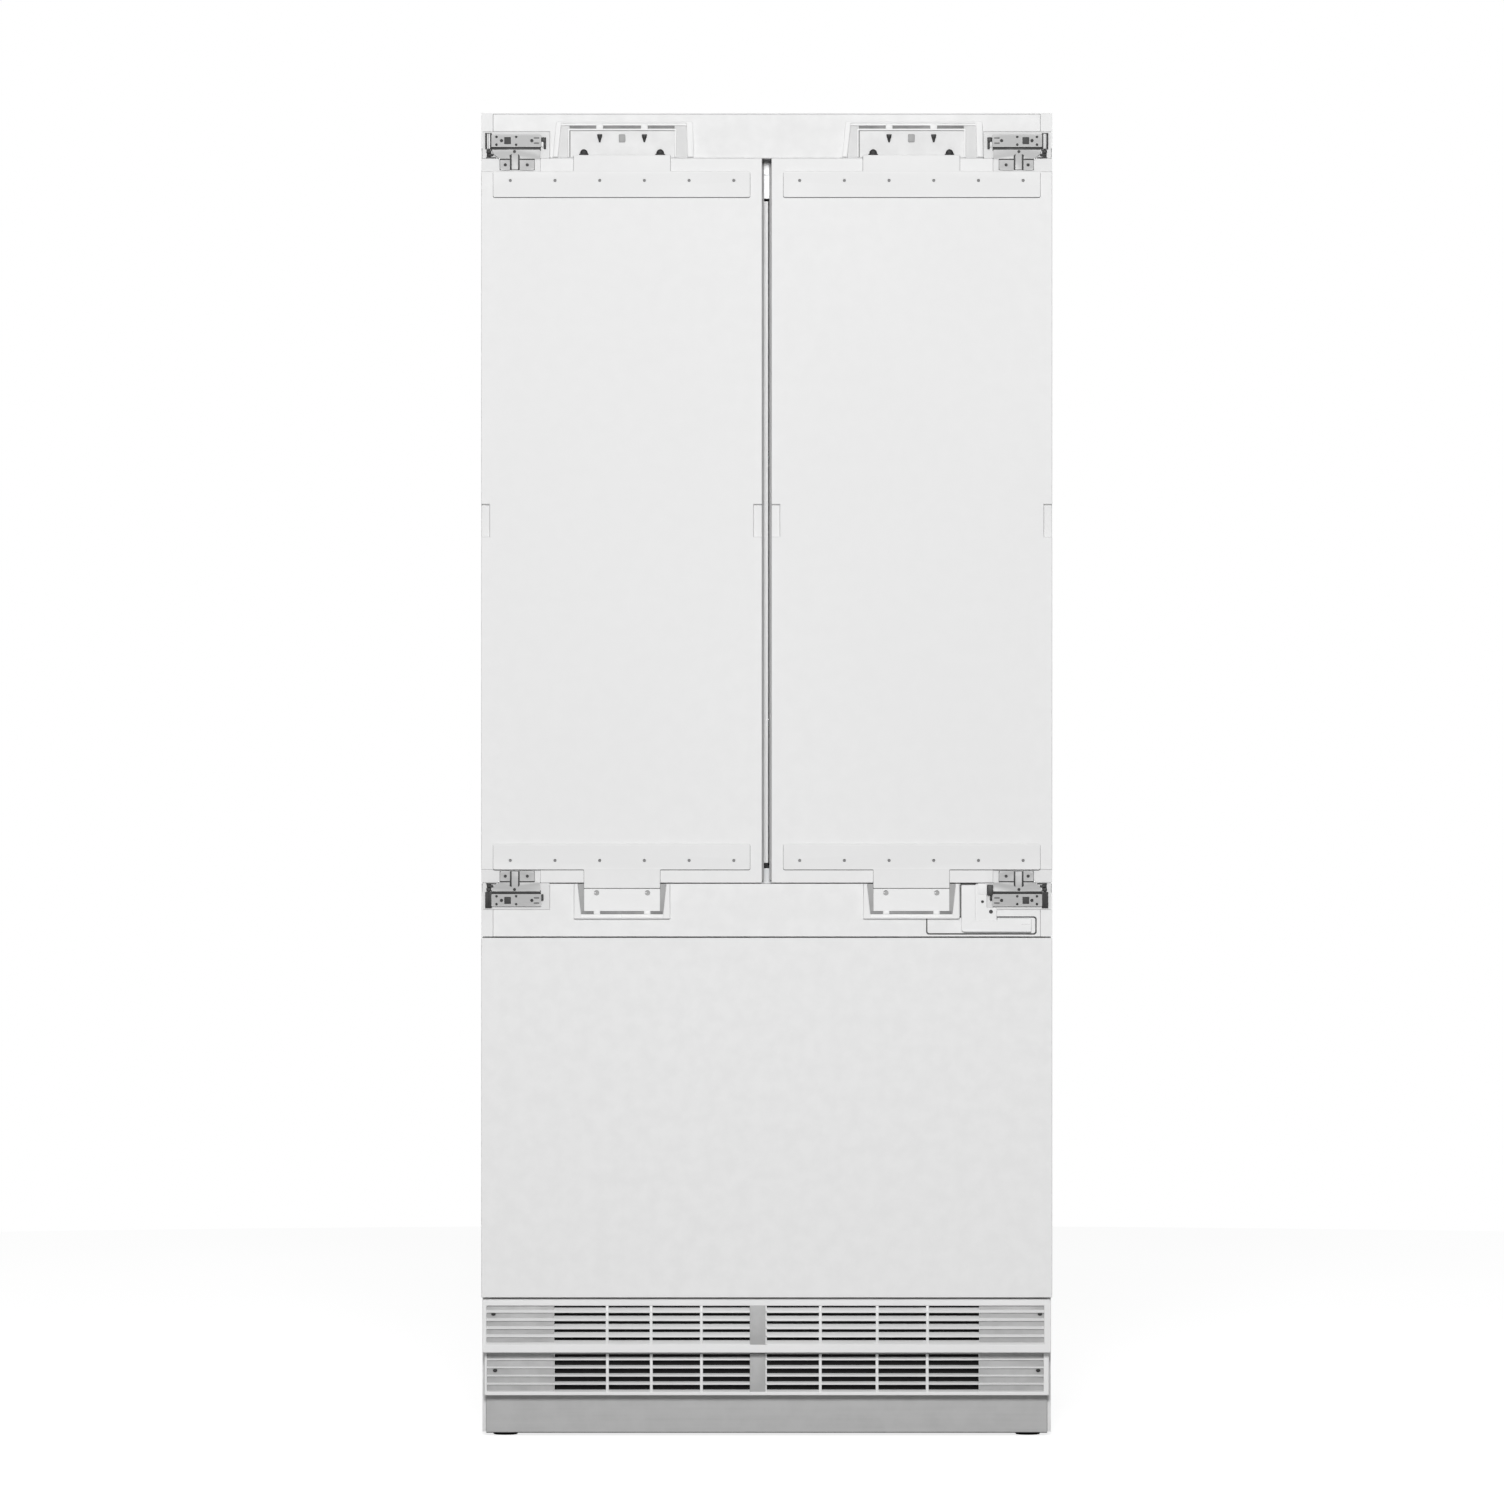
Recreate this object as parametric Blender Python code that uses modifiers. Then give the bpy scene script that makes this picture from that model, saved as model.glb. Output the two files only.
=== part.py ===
"""A built-in French door refrigerator over a freezer drawer, without its furniture panels.

X runs from left to right, Y from front to back and Z up. The origin is the middle of the
footprint, on the floor. All sizes are in metres.
"""

import math

import bmesh
import bpy
from mathutils import Matrix

# Overall size
WIDTH = 0.908
HEIGHT = 2.108
DEPTH = 0.610

# Clearances
CLEAR = 0.0003  # between pieces that touch
RAIL_GAP = 0.0015  # between a door and the rail above or below it
DOOR_GAP = 0.015  # between the two doors
GASKET_GAP = 0.010  # between a door's back and the cabinet's face
PIN_CLEAR = 0.0005  # around a hinge pin or a foot's stem
SLIDE_CLEAR = 0.0005  # between the members of a drawer slide

# Heights, from the floor up
TOE_GAP = 0.006
KICK_HEIGHT = 0.060
GRILLE_GAP = 0.0005
LOWER_GRILLE_HEIGHT = 0.0685
UPPER_GRILLE_HEIGHT = 0.086
DRAWER_GAP = 0.0025
DRAWER_HEIGHT = 0.572
MID_RAIL_GAP = 0.002
MID_RAIL_HEIGHT = 0.084
TOP_RAIL_HEIGHT = 0.0705

# Walls
SHEET = 0.0015
LINER = 0.002
RAIL_WALL = 0.003
SIDE_INSULATION = 0.050
BACK_INSULATION = 0.050
TUB_WALL = 0.0025
DOOR_THICKNESS = 0.060
LINER_PLATE = 0.0035

# How far the panel fittings stand in front of the doors, and how far the lower fronts step back
FITTING_PROUD = 0.006
RAIL_SETBACK = 0.0025
UPPER_GRILLE_SETBACK = 0.012
LOWER_GRILLE_SETBACK = 0.035
KICK_SETBACK = 0.060
GRILLE_INSET = 0.0015
LOWER_GRILLE_INSET = 0.004
KICK_INSET = 0.006

# Hinges, measured from a door's top or bottom edge and from the cabinet's side
HINGE_PROUD = 0.0015
PIVOT_INSET = 0.0095
PIVOT_BEHIND_FACE = 0.012
LEAF_LIFT = 0.001
LEAF_RISE = 0.014
LEAF_THICKNESS = 0.003
LEAF_END_INSET = 0.004
LEAF_TONGUE_INSET = 0.0095
LEAF_TONGUE_START = 0.015
LEAF_TONGUE_TAIL = 0.018
LEAF_ROOT = 0.006
LEAF_ARM_START = 0.012
HINGE_GAP = 0.0037
HINGE_PLATE_HEIGHT = 0.020
HINGE_PLATE_LENGTH = 0.0795
HINGE_PLATE_START = 0.016
HINGE_BODY_DEPTH = 0.0345
HINGE_END_LENGTH = 0.008
HINGE_END_TRIM = 0.002
HINGE_WINDOW_START = 0.026
HINGE_WINDOW_WIDTH = 0.0105
HINGE_WINDOW_HEIGHT = 0.011
HINGE_WINDOW_DEPTH = 0.012
HINGE_SCREW_PLACES = (0.0163, 0.0645)  # from the plate's outer end
HINGE_SCREW_RADIUS = 0.002
HINGE_SCREW_DEPTH = 0.006
PIN_RADIUS = 0.0026
EYE_RADIUS = 0.005
POCKET_CLEAR = 0.005
SWEEP_INSET = 0.010
POCKET_LENGTH = 0.109
DOOR_POCKET_LENGTH = 0.094
DOOR_POCKET_HEIGHT = 0.021
DOOR_POCKET_DEPTH = 0.010
EAR_WIDTH = 0.0185

# Panel strips on the doors, and the frames on the rails that take their tabs
STRIP_INSET = 0.019
STRIP_LENGTH = 0.4085
STRIP_HEIGHT = 0.041
STRIP_THICKNESS = 0.004
STRIP_FROM_EDGE = 0.021
STRIP_HOLES = 6
STRIP_HOLE_PITCH = 0.071
STRIP_HOLE_RADIUS = 0.0024
STRIP_HOLE_INSET = 0.0145
FRAME_CENTRE = 0.230
FRAME_RECESS = 0.001  # how far the frames' faces stay behind the foremost plane
TOP_TAB_WIDTH = 0.154
TOP_TAB_RISE = 0.005
BOTTOM_TAB_WIDTH = 0.121
BOTTOM_TAB_RISE = 0.0085
TOP_FRAME_WIDTH = 0.214
TOP_FRAME_RISE = 0.058
BOTTOM_FRAME_WIDTH = 0.153
BOTTOM_FRAME_RISE = 0.057
FRAME_LEG = 0.008
FRAME_LIP = 0.006
FRAME_SLOT = 0.005
TOP_FRAME_BACK = 0.002
TOP_TRAY_WIDTH = 0.172
TOP_TRAY_RIM = 0.008
TOP_TRAY_EDGE = 0.006
TOP_TRAY_SETBACK = 0.002
BOTTOM_FRAME_LIP = 0.007
BOTTOM_TAB_GAP = 0.001
BOTTOM_PLATE_BACK = 0.0035
BOTTOM_PLATE_HOLE = 0.0034
BOTTOM_PLATE_HOLE_OUT = 0.0405
BOTTOM_PLATE_HOLE_DROP = 0.016
NOTCH_WIDTH = 0.0134
NOTCH_HEIGHT = 0.052
NOTCH_CENTRE = 0.576  # above a door's bottom edge
NOTCH_DEPTH = 0.008

# Harness cover beside the lower right hinge, measured from the cabinet's side
HARNESS_FOOT = 0.0075  # above the middle rail's lower edge
HARNESS_ARM = (0.143, 0.034)
HARNESS_ARM_HEIGHT = 0.019
HARNESS_POST = (0.145, 0.121)
HARNESS_WEB = (0.122, 0.1045)
HARNESS_BLOCK = (0.106, 0.088)
HARNESS_CORNER = (0.106, 0.0975)
HARNESS_CORNER_HEIGHT = 0.0165
HARNESS_CORNER_DEPTH = 0.020
HARNESS_STEP = 0.003
HARNESS_HINGE_GAP = 0.0018

# Grilles
SLOT_ROWS = 5
SLOT_PITCH = 0.013
SLOT_HEIGHT = 0.0085
VENT_HALF_WIDTH = 0.3385
RIB_WIDTH = 0.0045
RIB_PLACES = (-0.254, -0.184, -0.104, 0.086, 0.176, 0.256)
CENTRE_BLOCK = (-0.027, -0.002)
GRILLE_SKIN = 0.004
GRILLE_WALL = 0.003
GRILLE_FIELD_SETBACK = 0.004
GRILLE_FRAME_SIDE = 0.008
UPPER_GRILLE_FRAME = (0.0105, 0.0095)  # below and above the slots
LOWER_GRILLE_FRAME = (0.003, 0.0005)

# Compartments
FRIDGE_FLOOR_RISE = 0.022  # liner floor above a door's bottom edge
FRIDGE_ROOF_DROP = 0.022
FREEZER_FLOOR_RISE = 0.053
FREEZER_ROOF_DROP = 0.022
DUCT_WIDTH = 0.180
DUCT_DEPTH = 0.018
DUCT_RISE = 0.250
DUCT_DROP = 0.060
SHELF_THICKNESS = 0.012
SHELF_DEPTH = 0.315
SHELF_SIDE_GAP = 0.002
SHELF_BACK_GAP = 0.012
SHELF_FRAME = 0.014
SHELF_GLASS = 0.006
UPPER_SHELF_RISE = 0.660
CRISPER_HEIGHT = 0.215
CRISPER_DEPTH = 0.300
CRISPER_SETBACK = 0.004
CRISPER_GAP = 0.004
CRISPER_ROOF_GAP = 0.012
CRISPER_GRIP = (0.120, 0.270)
CRISPER_GRIP_HEIGHT = 0.049
CRISPER_GRIP_PROUD = 0.008
FLOOR_RIB_WIDTH = 0.005
FLOOR_RIB_HEIGHT = 0.045
CONTROL_WIDTH = 0.320
CONTROL_DEPTH = 0.110
CONTROL_THICKNESS = 0.007
CONTROL_SETBACK = 0.070
LEDGE_WIDTH = 0.012
LEDGE_HEIGHT = 0.006
LEDGE_SETBACK = 0.010
TUB_RIM_HEIGHT = 0.006

# Doors
GASKET_INSET = 0.003
GASKET_WIDTH = 0.013
GASKET_SIDE = 0.004
GASKET_LAP = 0.0033  # how far a door's gasket reaches into the gap between the doors
RIDGE_WIDTH = 0.016
RIDGE_DEPTH = 0.042
RIDGE_HINGE_INSET = 0.068
RIDGE_FREE_INSET = 0.0365
RIDGE_END = 0.045
BIN_DEPTH = 0.104
BIN_HEIGHT = 0.115
BIN_RISES = (0.330, 0.740)

# Flip mullion
MULLION_RIGHT = 0.0025
MULLION_PIVOT = -0.029
MULLION_LEFT = -0.0335
MULLION_THICKNESS = 0.018
MULLION_TAPER = 0.0045
MULLION_BOTTOM_RISE = 0.031
MULLION_TOP_DROP = 0.064
GUIDE_HALF_WIDTH = 0.014
GUIDE_GAP = 0.004
MULLION_BEHIND_FACE = 0.0055
MULLION_HOLE = 0.010
LUG_HALF = 0.0045
LUG_HEIGHT = 0.007
LUG_PIN = (0.008, 0.003)

# Freezer drawer
SLIDE_HEIGHT = 0.035
SLIDE_RISE = 0.255
TRACK_THICKNESS = 0.010
MIDDLE_THICKNESS = 0.008
RUNNER_THICKNESS = 0.010
SLIDE_FRONT_GAP = 0.004
SLIDE_BACK_GAP = 0.006
MIDDLE_INSET = 0.004
RUNNER_INSET = 0.006
RUNNER_TAIL = 0.008
SLIDE_BAR_RADIUS = 0.005
SLIDE_BAR_RISE = 0.008
SLIDE_BAR_INSET = 0.012
BASKET_RISE = 0.012
BASKET_HEIGHT = 0.275
BASKET_FRONT_GAP = 0.006
BASKET_BACK_GAP = 0.035  # from the runners' ends to the evaporator's cover
BASKET_RIM = 0.007
BASKET_LAP = 0.002  # how far the basket's rim laps onto its runners
BRACKET_WIDTH = 0.030
BRACKET_DROP = 0.060
TRAY_HEIGHT = 0.090
TRAY_FRONT_GAP = 0.010
TRAY_BACK_GAP = 0.104  # room for the tray to slide back
TRAY_SIDE_GAP = 0.001
SMALL_RIM = 0.003
EVAPORATOR_BAY = 0.083
FAN_RADIUS = 0.055
FAN_HUB = 0.018
FAN_CLEAR = 0.006
FAN_BLADES = 5
BLADE_WIDTH = 0.028
BLADE_THICKNESS = 0.0022
BLADE_ROOT = 0.004
BLADE_PITCH = 28  # degrees
EVAPORATOR_SIDE = 0.060
EVAPORATOR_RISE = 0.030
EVAPORATOR_SETBACK = 0.012
EVAPORATOR_BACK_GAP = 0.010
EVAPORATOR_FAN_DROP = 0.020
EVAPORATOR_FAN_SPAN = (0.004, 0.026)
EVAPORATOR_SLOTS = 14
COVER_SIDE_GAP = 0.001
FIN_BACK = 0.012

# Machine compartment
PAN_RISE = 0.030
PAN_SHEET = 0.002
DRIP_TRAY_X = (-0.330, -0.080)
DRIP_TRAY_Y = (0.060, 0.250)
DRIP_TRAY_HEIGHT = 0.030
DRIP_TRAY_WALL = 0.003
FAN_PLATE_X = (-0.210, 0.090)
FAN_PLATE_THICKNESS = 0.003
FAN_PLATE_DROP = 0.006
MACHINE_FAN = (-0.060, 0.128)
MACHINE_FAN_SETBACK = 0.150
MACHINE_FAN_DEPTH = 0.022
CONDENSER_X = (-0.330, 0.320)
CONDENSER_SETBACK = 0.030
CONDENSER_DEPTH = 0.065
CONDENSER_DROP = 0.012
CONDENSER_SLOTS = 20
FOOT_PAD_HEIGHT = 0.013
STEM_TOP = 0.052
FOOT_RADIUS = 0.0205
FOOT_INSET = 0.036
FOOT_BEHIND_FACE = 0.099
STEM_RADIUS = 0.006
ROLLER_RADIUS = 0.020
ROLLER_WIDTH = 0.018
AXLE_RADIUS = 0.004
ROLLER_INSET = 0.055
ROLLER_SIDE_INSET = 0.050
ROLLER_INNER = 0.010  # of its width, towards the middle
ROLLER_CLEAR = 0.004
AXLE_END = 0.002
BRACKET_GAP = 0.007
AXLE_BRACKET = 0.003
AXLE_BRACKET_DEPTH = 0.028
AXLE_BRACKET_DROP = 0.009
COMPRESSOR_RADIUS = 0.080
COMPRESSOR_HEIGHT = 0.150
COMPRESSOR_PLACE = (0.230, 0.150)
COMPRESSOR_DOME = 0.045
COMPRESSOR_SKIRT = 0.030
COMPRESSOR_SEAT_RADIUS = 0.060
COMPRESSOR_SEAT_HEIGHT = 0.010

# Planes from front to back
FRONT = -DEPTH / 2
BACK = DEPTH / 2
DOOR_FACE = FRONT + FITTING_PROUD
DOOR_BACK = DOOR_FACE + DOOR_THICKNESS
CABINET_FACE = DOOR_BACK + GASKET_GAP
RAIL_FACE = DOOR_FACE + RAIL_SETBACK
HINGE_FACE = DOOR_FACE - HINGE_PROUD
PIVOT_Y = DOOR_FACE + PIVOT_BEHIND_FACE
LINER_BACK = BACK - BACK_INSULATION
SHELF_BACK = LINER_BACK - LINER - DUCT_DEPTH - SHELF_BACK_GAP
SHELF_FRONT = SHELF_BACK - SHELF_DEPTH
MULLION_Y = CABINET_FACE + MULLION_BEHIND_FACE
COVER_FACE = LINER_BACK - LINER - EVAPORATOR_BAY
SLIDE_Y = (CABINET_FACE + SLIDE_FRONT_GAP, COVER_FACE - SLIDE_BACK_GAP)
BASKET_FRONT = CABINET_FACE + BASKET_FRONT_GAP
BASKET_BACK = COVER_FACE - BASKET_BACK_GAP - RUNNER_TAIL
TRAY_Y = (CABINET_FACE + TRAY_FRONT_GAP, COVER_FACE - TRAY_BACK_GAP)
FOOT_Y = DOOR_FACE + FOOT_BEHIND_FACE
AXLE_Y = BACK - ROLLER_INSET
FAN_Y = CABINET_FACE + MACHINE_FAN_SETBACK

# Planes from side to side
HALF = WIDTH / 2
LINER_HALF = HALF - SIDE_INSULATION
PIVOT_X = HALF - PIVOT_INSET
SKIN_HALF = HALF - SHEET - CLEAR  # what fits between the cabinet's side sheets
LINER_IN = LINER_HALF - LINER
TRACK_IN = LINER_IN - CLEAR - TRACK_THICKNESS
MIDDLE_OUT = TRACK_IN - SLIDE_CLEAR
MIDDLE_IN = MIDDLE_OUT - MIDDLE_THICKNESS
RUNNER_OUT = MIDDLE_IN - SLIDE_CLEAR
BASKET_HALF = RUNNER_OUT - RUNNER_THICKNESS + BASKET_LAP
FOOT_X = HALF - FOOT_INSET
ROLLER_X = HALF - ROLLER_SIDE_INSET

# Planes from bottom to top
KICK_TOP = TOE_GAP + KICK_HEIGHT
LOWER_GRILLE_BOTTOM = KICK_TOP + GRILLE_GAP
LOWER_GRILLE_TOP = LOWER_GRILLE_BOTTOM + LOWER_GRILLE_HEIGHT
UPPER_GRILLE_BOTTOM = LOWER_GRILLE_TOP + 2 * GRILLE_GAP
UPPER_GRILLE_TOP = UPPER_GRILLE_BOTTOM + UPPER_GRILLE_HEIGHT
DRAWER_BOTTOM = UPPER_GRILLE_TOP + DRAWER_GAP
DRAWER_TOP = DRAWER_BOTTOM + DRAWER_HEIGHT
MID_RAIL_BOTTOM = DRAWER_TOP + MID_RAIL_GAP
MID_RAIL_TOP = MID_RAIL_BOTTOM + MID_RAIL_HEIGHT
DOOR_BOTTOM = MID_RAIL_TOP + RAIL_GAP
TOP_RAIL_BOTTOM = HEIGHT - TOP_RAIL_HEIGHT
DOOR_TOP = TOP_RAIL_BOTTOM - RAIL_GAP
CASE_FLOOR = DRAWER_BOTTOM + 2 * SHEET
FRIDGE_FLOOR = DOOR_BOTTOM + FRIDGE_FLOOR_RISE
FRIDGE_ROOF = DOOR_TOP - FRIDGE_ROOF_DROP
FREEZER_FLOOR = DRAWER_BOTTOM + FREEZER_FLOOR_RISE
FREEZER_ROOF = DRAWER_TOP - FREEZER_ROOF_DROP
DIVIDE = (MID_RAIL_BOTTOM + MID_RAIL_TOP) / 2
UPPER_SHELF = FRIDGE_FLOOR + UPPER_SHELF_RISE
LOWER_SHELF = FRIDGE_FLOOR + CRISPER_HEIGHT + CRISPER_ROOF_GAP
SLIDE_LOW = FREEZER_FLOOR + SLIDE_RISE
SLIDE_LEVELS = (SLIDE_LOW, SLIDE_LOW + SLIDE_HEIGHT)
BASKET_LOW = FREEZER_FLOOR + BASKET_RISE
TRAY_LOW = BASKET_LOW + BASKET_HEIGHT + CLEAR

SEAT_TOP = PAN_RISE + COMPRESSOR_SEAT_HEIGHT

OVERLAP = 0.001  # how far joined shapes run into one another
BEYOND = 0.010  # how far a cutter runs out past what it cuts

# Sides of round pieces
SMALL_ROUND = 8
ROUND = 12
MEDIUM_ROUND = 16
LARGE_ROUND = 24
WHEEL_ROUND = 32

LOOKS = {
    "white_paint": ((0.79, 0.79, 0.79), 0.45, 0.0),
    "white_plastic": ((0.84, 0.84, 0.84), 0.4, 0.0),
    "grille_plastic": ((0.76, 0.76, 0.76), 0.45, 0.0),
    "kick_steel": ((0.39, 0.39, 0.39), 0.4, 0.3),
    "hinge_steel": ((0.5, 0.5, 0.5), 0.35, 1.0),
    "galvanised": ((0.55, 0.56, 0.57), 0.45, 0.9),
    "black_rubber": ((0.02, 0.02, 0.02), 0.8, 0.0),
    "black_plastic": ((0.03, 0.03, 0.03), 0.5, 0.0),
    "grey_rubber": ((0.62, 0.62, 0.63), 0.75, 0.0),
    "liner_plastic": ((0.86, 0.87, 0.88), 0.3, 0.0),
    "clear_plastic": ((0.8, 0.86, 0.9), 0.1, 0.0),
    "glass": ((0.75, 0.88, 0.86), 0.05, 0.0),
    "foam": ((0.9, 0.85, 0.65), 0.9, 0.0),
    "coil_metal": ((0.7, 0.71, 0.72), 0.4, 0.9),
    "compressor_black": ((0.03, 0.03, 0.035), 0.4, 0.2),
    "panel_dark": ((0.05, 0.055, 0.06), 0.2, 0.0),
}


def clear_scene():
    for obj in list(bpy.data.objects):
        bpy.data.objects.remove(obj, do_unlink=True)


def new_collection(name):
    made = bpy.data.collections.new(name)
    bpy.context.scene.collection.children.link(made)
    return made


def make_material(name, look):
    colour, roughness, metallic = LOOKS[look]
    material = bpy.data.materials.new(f"{name}_{look}")
    material.use_nodes = True
    shader = material.node_tree.nodes["Principled BSDF"]
    shader.inputs["Base Color"].default_value = (*colour, 1.0)
    shader.inputs["Roughness"].default_value = roughness
    shader.inputs["Metallic"].default_value = metallic
    material.diffuse_color = (*colour, 1.0)
    return material


clear_scene()
PARTS = new_collection("french_door_refrigerator")
CUTTERS = new_collection("cutters")


# Shapes: each one is a function that adds a closed form to a bmesh


def box(xs, ys, zs):
    """A block between two values of x, of y and of z."""

    def add(bm):
        spans = [sorted(pair) for pair in (xs, ys, zs)]
        middle = [(low + high) / 2 for low, high in spans]
        size = [high - low for low, high in spans]
        place = Matrix.Translation(middle) @ Matrix.Diagonal((*size, 1.0))
        bmesh.ops.create_cube(bm, size=1.0, matrix=place)

    return add


TURNS = {
    "x": Matrix.Rotation(math.pi / 2, 4, "Y"),
    "y": Matrix.Rotation(math.pi / 2, 4, "X"),
    "z": Matrix.Identity(4),
}


def rod(axis, across, along, radius, sides=ROUND):
    """A round bar. across is its centre in the other two axes, and along its two ends."""

    def add(bm):
        middle = list(across)
        middle.insert("xyz".index(axis), sum(along) / 2)
        place = Matrix.Translation(middle) @ TURNS[axis]
        bmesh.ops.create_cone(
            bm,
            cap_ends=True,
            segments=sides,
            radius1=radius,
            radius2=radius,
            depth=abs(along[1] - along[0]),
            matrix=place,
        )

    return add


def turned(shape, place):
    """The same shape after a matrix."""

    def add(bm):
        old = set(bm.verts)
        shape(bm)
        new = [vertex for vertex in bm.verts if vertex not in old]
        bmesh.ops.transform(bm, matrix=place, verts=new)

    return add


def mesh_of(name, shapes):
    bm = bmesh.new()
    for shape in shapes:
        shape(bm)
    bmesh.ops.recalc_face_normals(bm, faces=bm.faces)
    mesh = bpy.data.meshes.new(name)
    bm.to_mesh(mesh)
    bm.free()
    return mesh


def solid(name, look, shape):
    """A new sub-part, with a material of its own."""
    obj = bpy.data.objects.new(name, mesh_of(name, [shape]))
    PARTS.objects.link(obj)
    obj.data.materials.append(make_material(name, look))
    return obj


def helper(name, shapes):
    obj = bpy.data.objects.new(name, mesh_of(name, shapes))
    CUTTERS.objects.link(obj)
    obj.hide_render = True
    obj.display_type = "WIRE"
    return obj


def combine(obj, other, operation):
    modifier = obj.modifiers.new(operation.lower(), "BOOLEAN")
    modifier.operation = operation
    modifier.object = other


def cut(obj, *shapes):
    """Takes shapes that don't touch one another out of a sub-part."""
    number = len(obj.modifiers)
    combine(obj, helper(f"{obj.name}_cut_{number}", shapes), "DIFFERENCE")


def join(obj, *shapes):
    """Adds shapes to a sub-part, one after another."""
    for shape in shapes:
        number = len(obj.modifiers)
        combine(obj, helper(f"{obj.name}_join_{number}", [shape]), "UNION")


def carrier(name, place, *objects):
    """An empty on a joint's axis that its moving sub-parts hang on."""
    empty = bpy.data.objects.new(name, None)
    empty.location = place
    empty.empty_display_size = 0.05
    PARTS.objects.link(empty)
    bpy.context.view_layer.update()
    for obj in objects:
        obj.parent = empty
        obj.matrix_parent_inverse = empty.matrix_world.inverted()
    return empty


def sided(side, near, far):
    """Two distances from the middle plane, on the left (-1) or the right (1)."""
    return (side * near, side * far)


def sided_in(distances):
    """Two distances from the cabinet's right side, as values of x."""
    return (HALF - distances[0], HALF - distances[1])


def name_of(side):
    return "left" if side < 0 else "right"


# Cabinet


def hinge_pockets():
    """The recesses in the rails and ears that hold the four hinges."""
    shapes = []
    rise = LEAF_RISE + HINGE_GAP + HINGE_PLATE_HEIGHT + POCKET_CLEAR
    depth = (FRONT - CLEAR, HINGE_FACE + HINGE_BODY_DEPTH + POCKET_CLEAR)
    for side in (-1, 1):
        for up, edge in ((1, DOOR_TOP), (-1, DOOR_BOTTOM)):
            across = sided(side, HALF - POCKET_LENGTH, HALF - SHEET - OVERLAP)
            shapes.append(box(across, depth, (edge - up * RAIL_GAP, edge + up * rise)))
    return shapes


def leaf_sweeps():
    """The windows in the ears' outer skin that a door's hinge leaf swings through."""
    shapes = []
    depth = (FRONT - CLEAR, PIVOT_Y + 2 * EYE_RADIUS)
    rise = LEAF_RISE + HINGE_GAP / 2
    for side in (-1, 1):
        for up, edge in ((1, DOOR_TOP), (-1, DOOR_BOTTOM)):
            across = sided(side, HALF - SWEEP_INSET, HALF + OVERLAP)
            shapes.append(box(across, depth, (edge - up * RAIL_GAP, edge + up * rise)))
    return shapes


def make_cabinet():
    case = solid(
        "cabinet_shell",
        "white_paint",
        box((-HALF, HALF), (CABINET_FACE, BACK), (TOE_GAP, HEIGHT)),
    )
    inside = (-HALF + SHEET, HALF - SHEET)
    cut(case, box(inside, (FRONT, BACK - SHEET), (CASE_FLOOR, HEIGHT - SHEET)))
    cut(case, box(inside, (FRONT, BACK + BEYOND), (0, CASE_FLOOR - SHEET)))
    for low, high in ((TOP_RAIL_BOTTOM, HEIGHT), (MID_RAIL_BOTTOM, MID_RAIL_TOP)):
        for side in (-1, 1):
            skin = sided(side, HALF - SHEET, HALF)
            ear = sided(side, HALF - EAR_WIDTH, HALF - SHEET / 2)
            join(
                case,
                box(skin, (RAIL_FACE, 0), (low, high)),
                box(ear, (RAIL_FACE, CABINET_FACE - CLEAR), (low, high)),
            )
    join(case, box((-HALF, HALF), (RAIL_FACE, 0), (HEIGHT - SHEET, HEIGHT)))
    cut(case, *hinge_pockets())
    cut(case, *leaf_sweeps())

    foam = solid(
        "insulation",
        "foam",
        box(
            (-SKIN_HALF, SKIN_HALF),
            (CABINET_FACE + SHEET + CLEAR, BACK - SHEET - CLEAR),
            (CASE_FLOOR + CLEAR, HEIGHT - SHEET - CLEAR),
        ),
    )
    half = LINER_HALF + CLEAR
    for low, high in ((FRIDGE_FLOOR, FRIDGE_ROOF), (FREEZER_FLOOR, FREEZER_ROOF)):
        hollow = (low - LINER - CLEAR, high + LINER + CLEAR)
        cut(foam, box((-half, half), (FRONT, LINER_BACK + CLEAR), hollow))
    return case, foam


def make_liner(name, floor, roof, flange):
    """An open-fronted box with a flange round its mouth."""
    liner = solid(
        name,
        "liner_plastic",
        box(
            (-LINER_HALF, LINER_HALF),
            (CABINET_FACE + SHEET / 2, LINER_BACK),
            (floor - LINER, roof + LINER),
        ),
    )
    join(liner, box((-SKIN_HALF, SKIN_HALF), (CABINET_FACE, CABINET_FACE + SHEET), flange))
    inner = LINER_HALF - LINER
    cut(liner, box((-inner, inner), (FRONT, LINER_BACK - LINER), (floor, roof)))
    return liner


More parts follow.
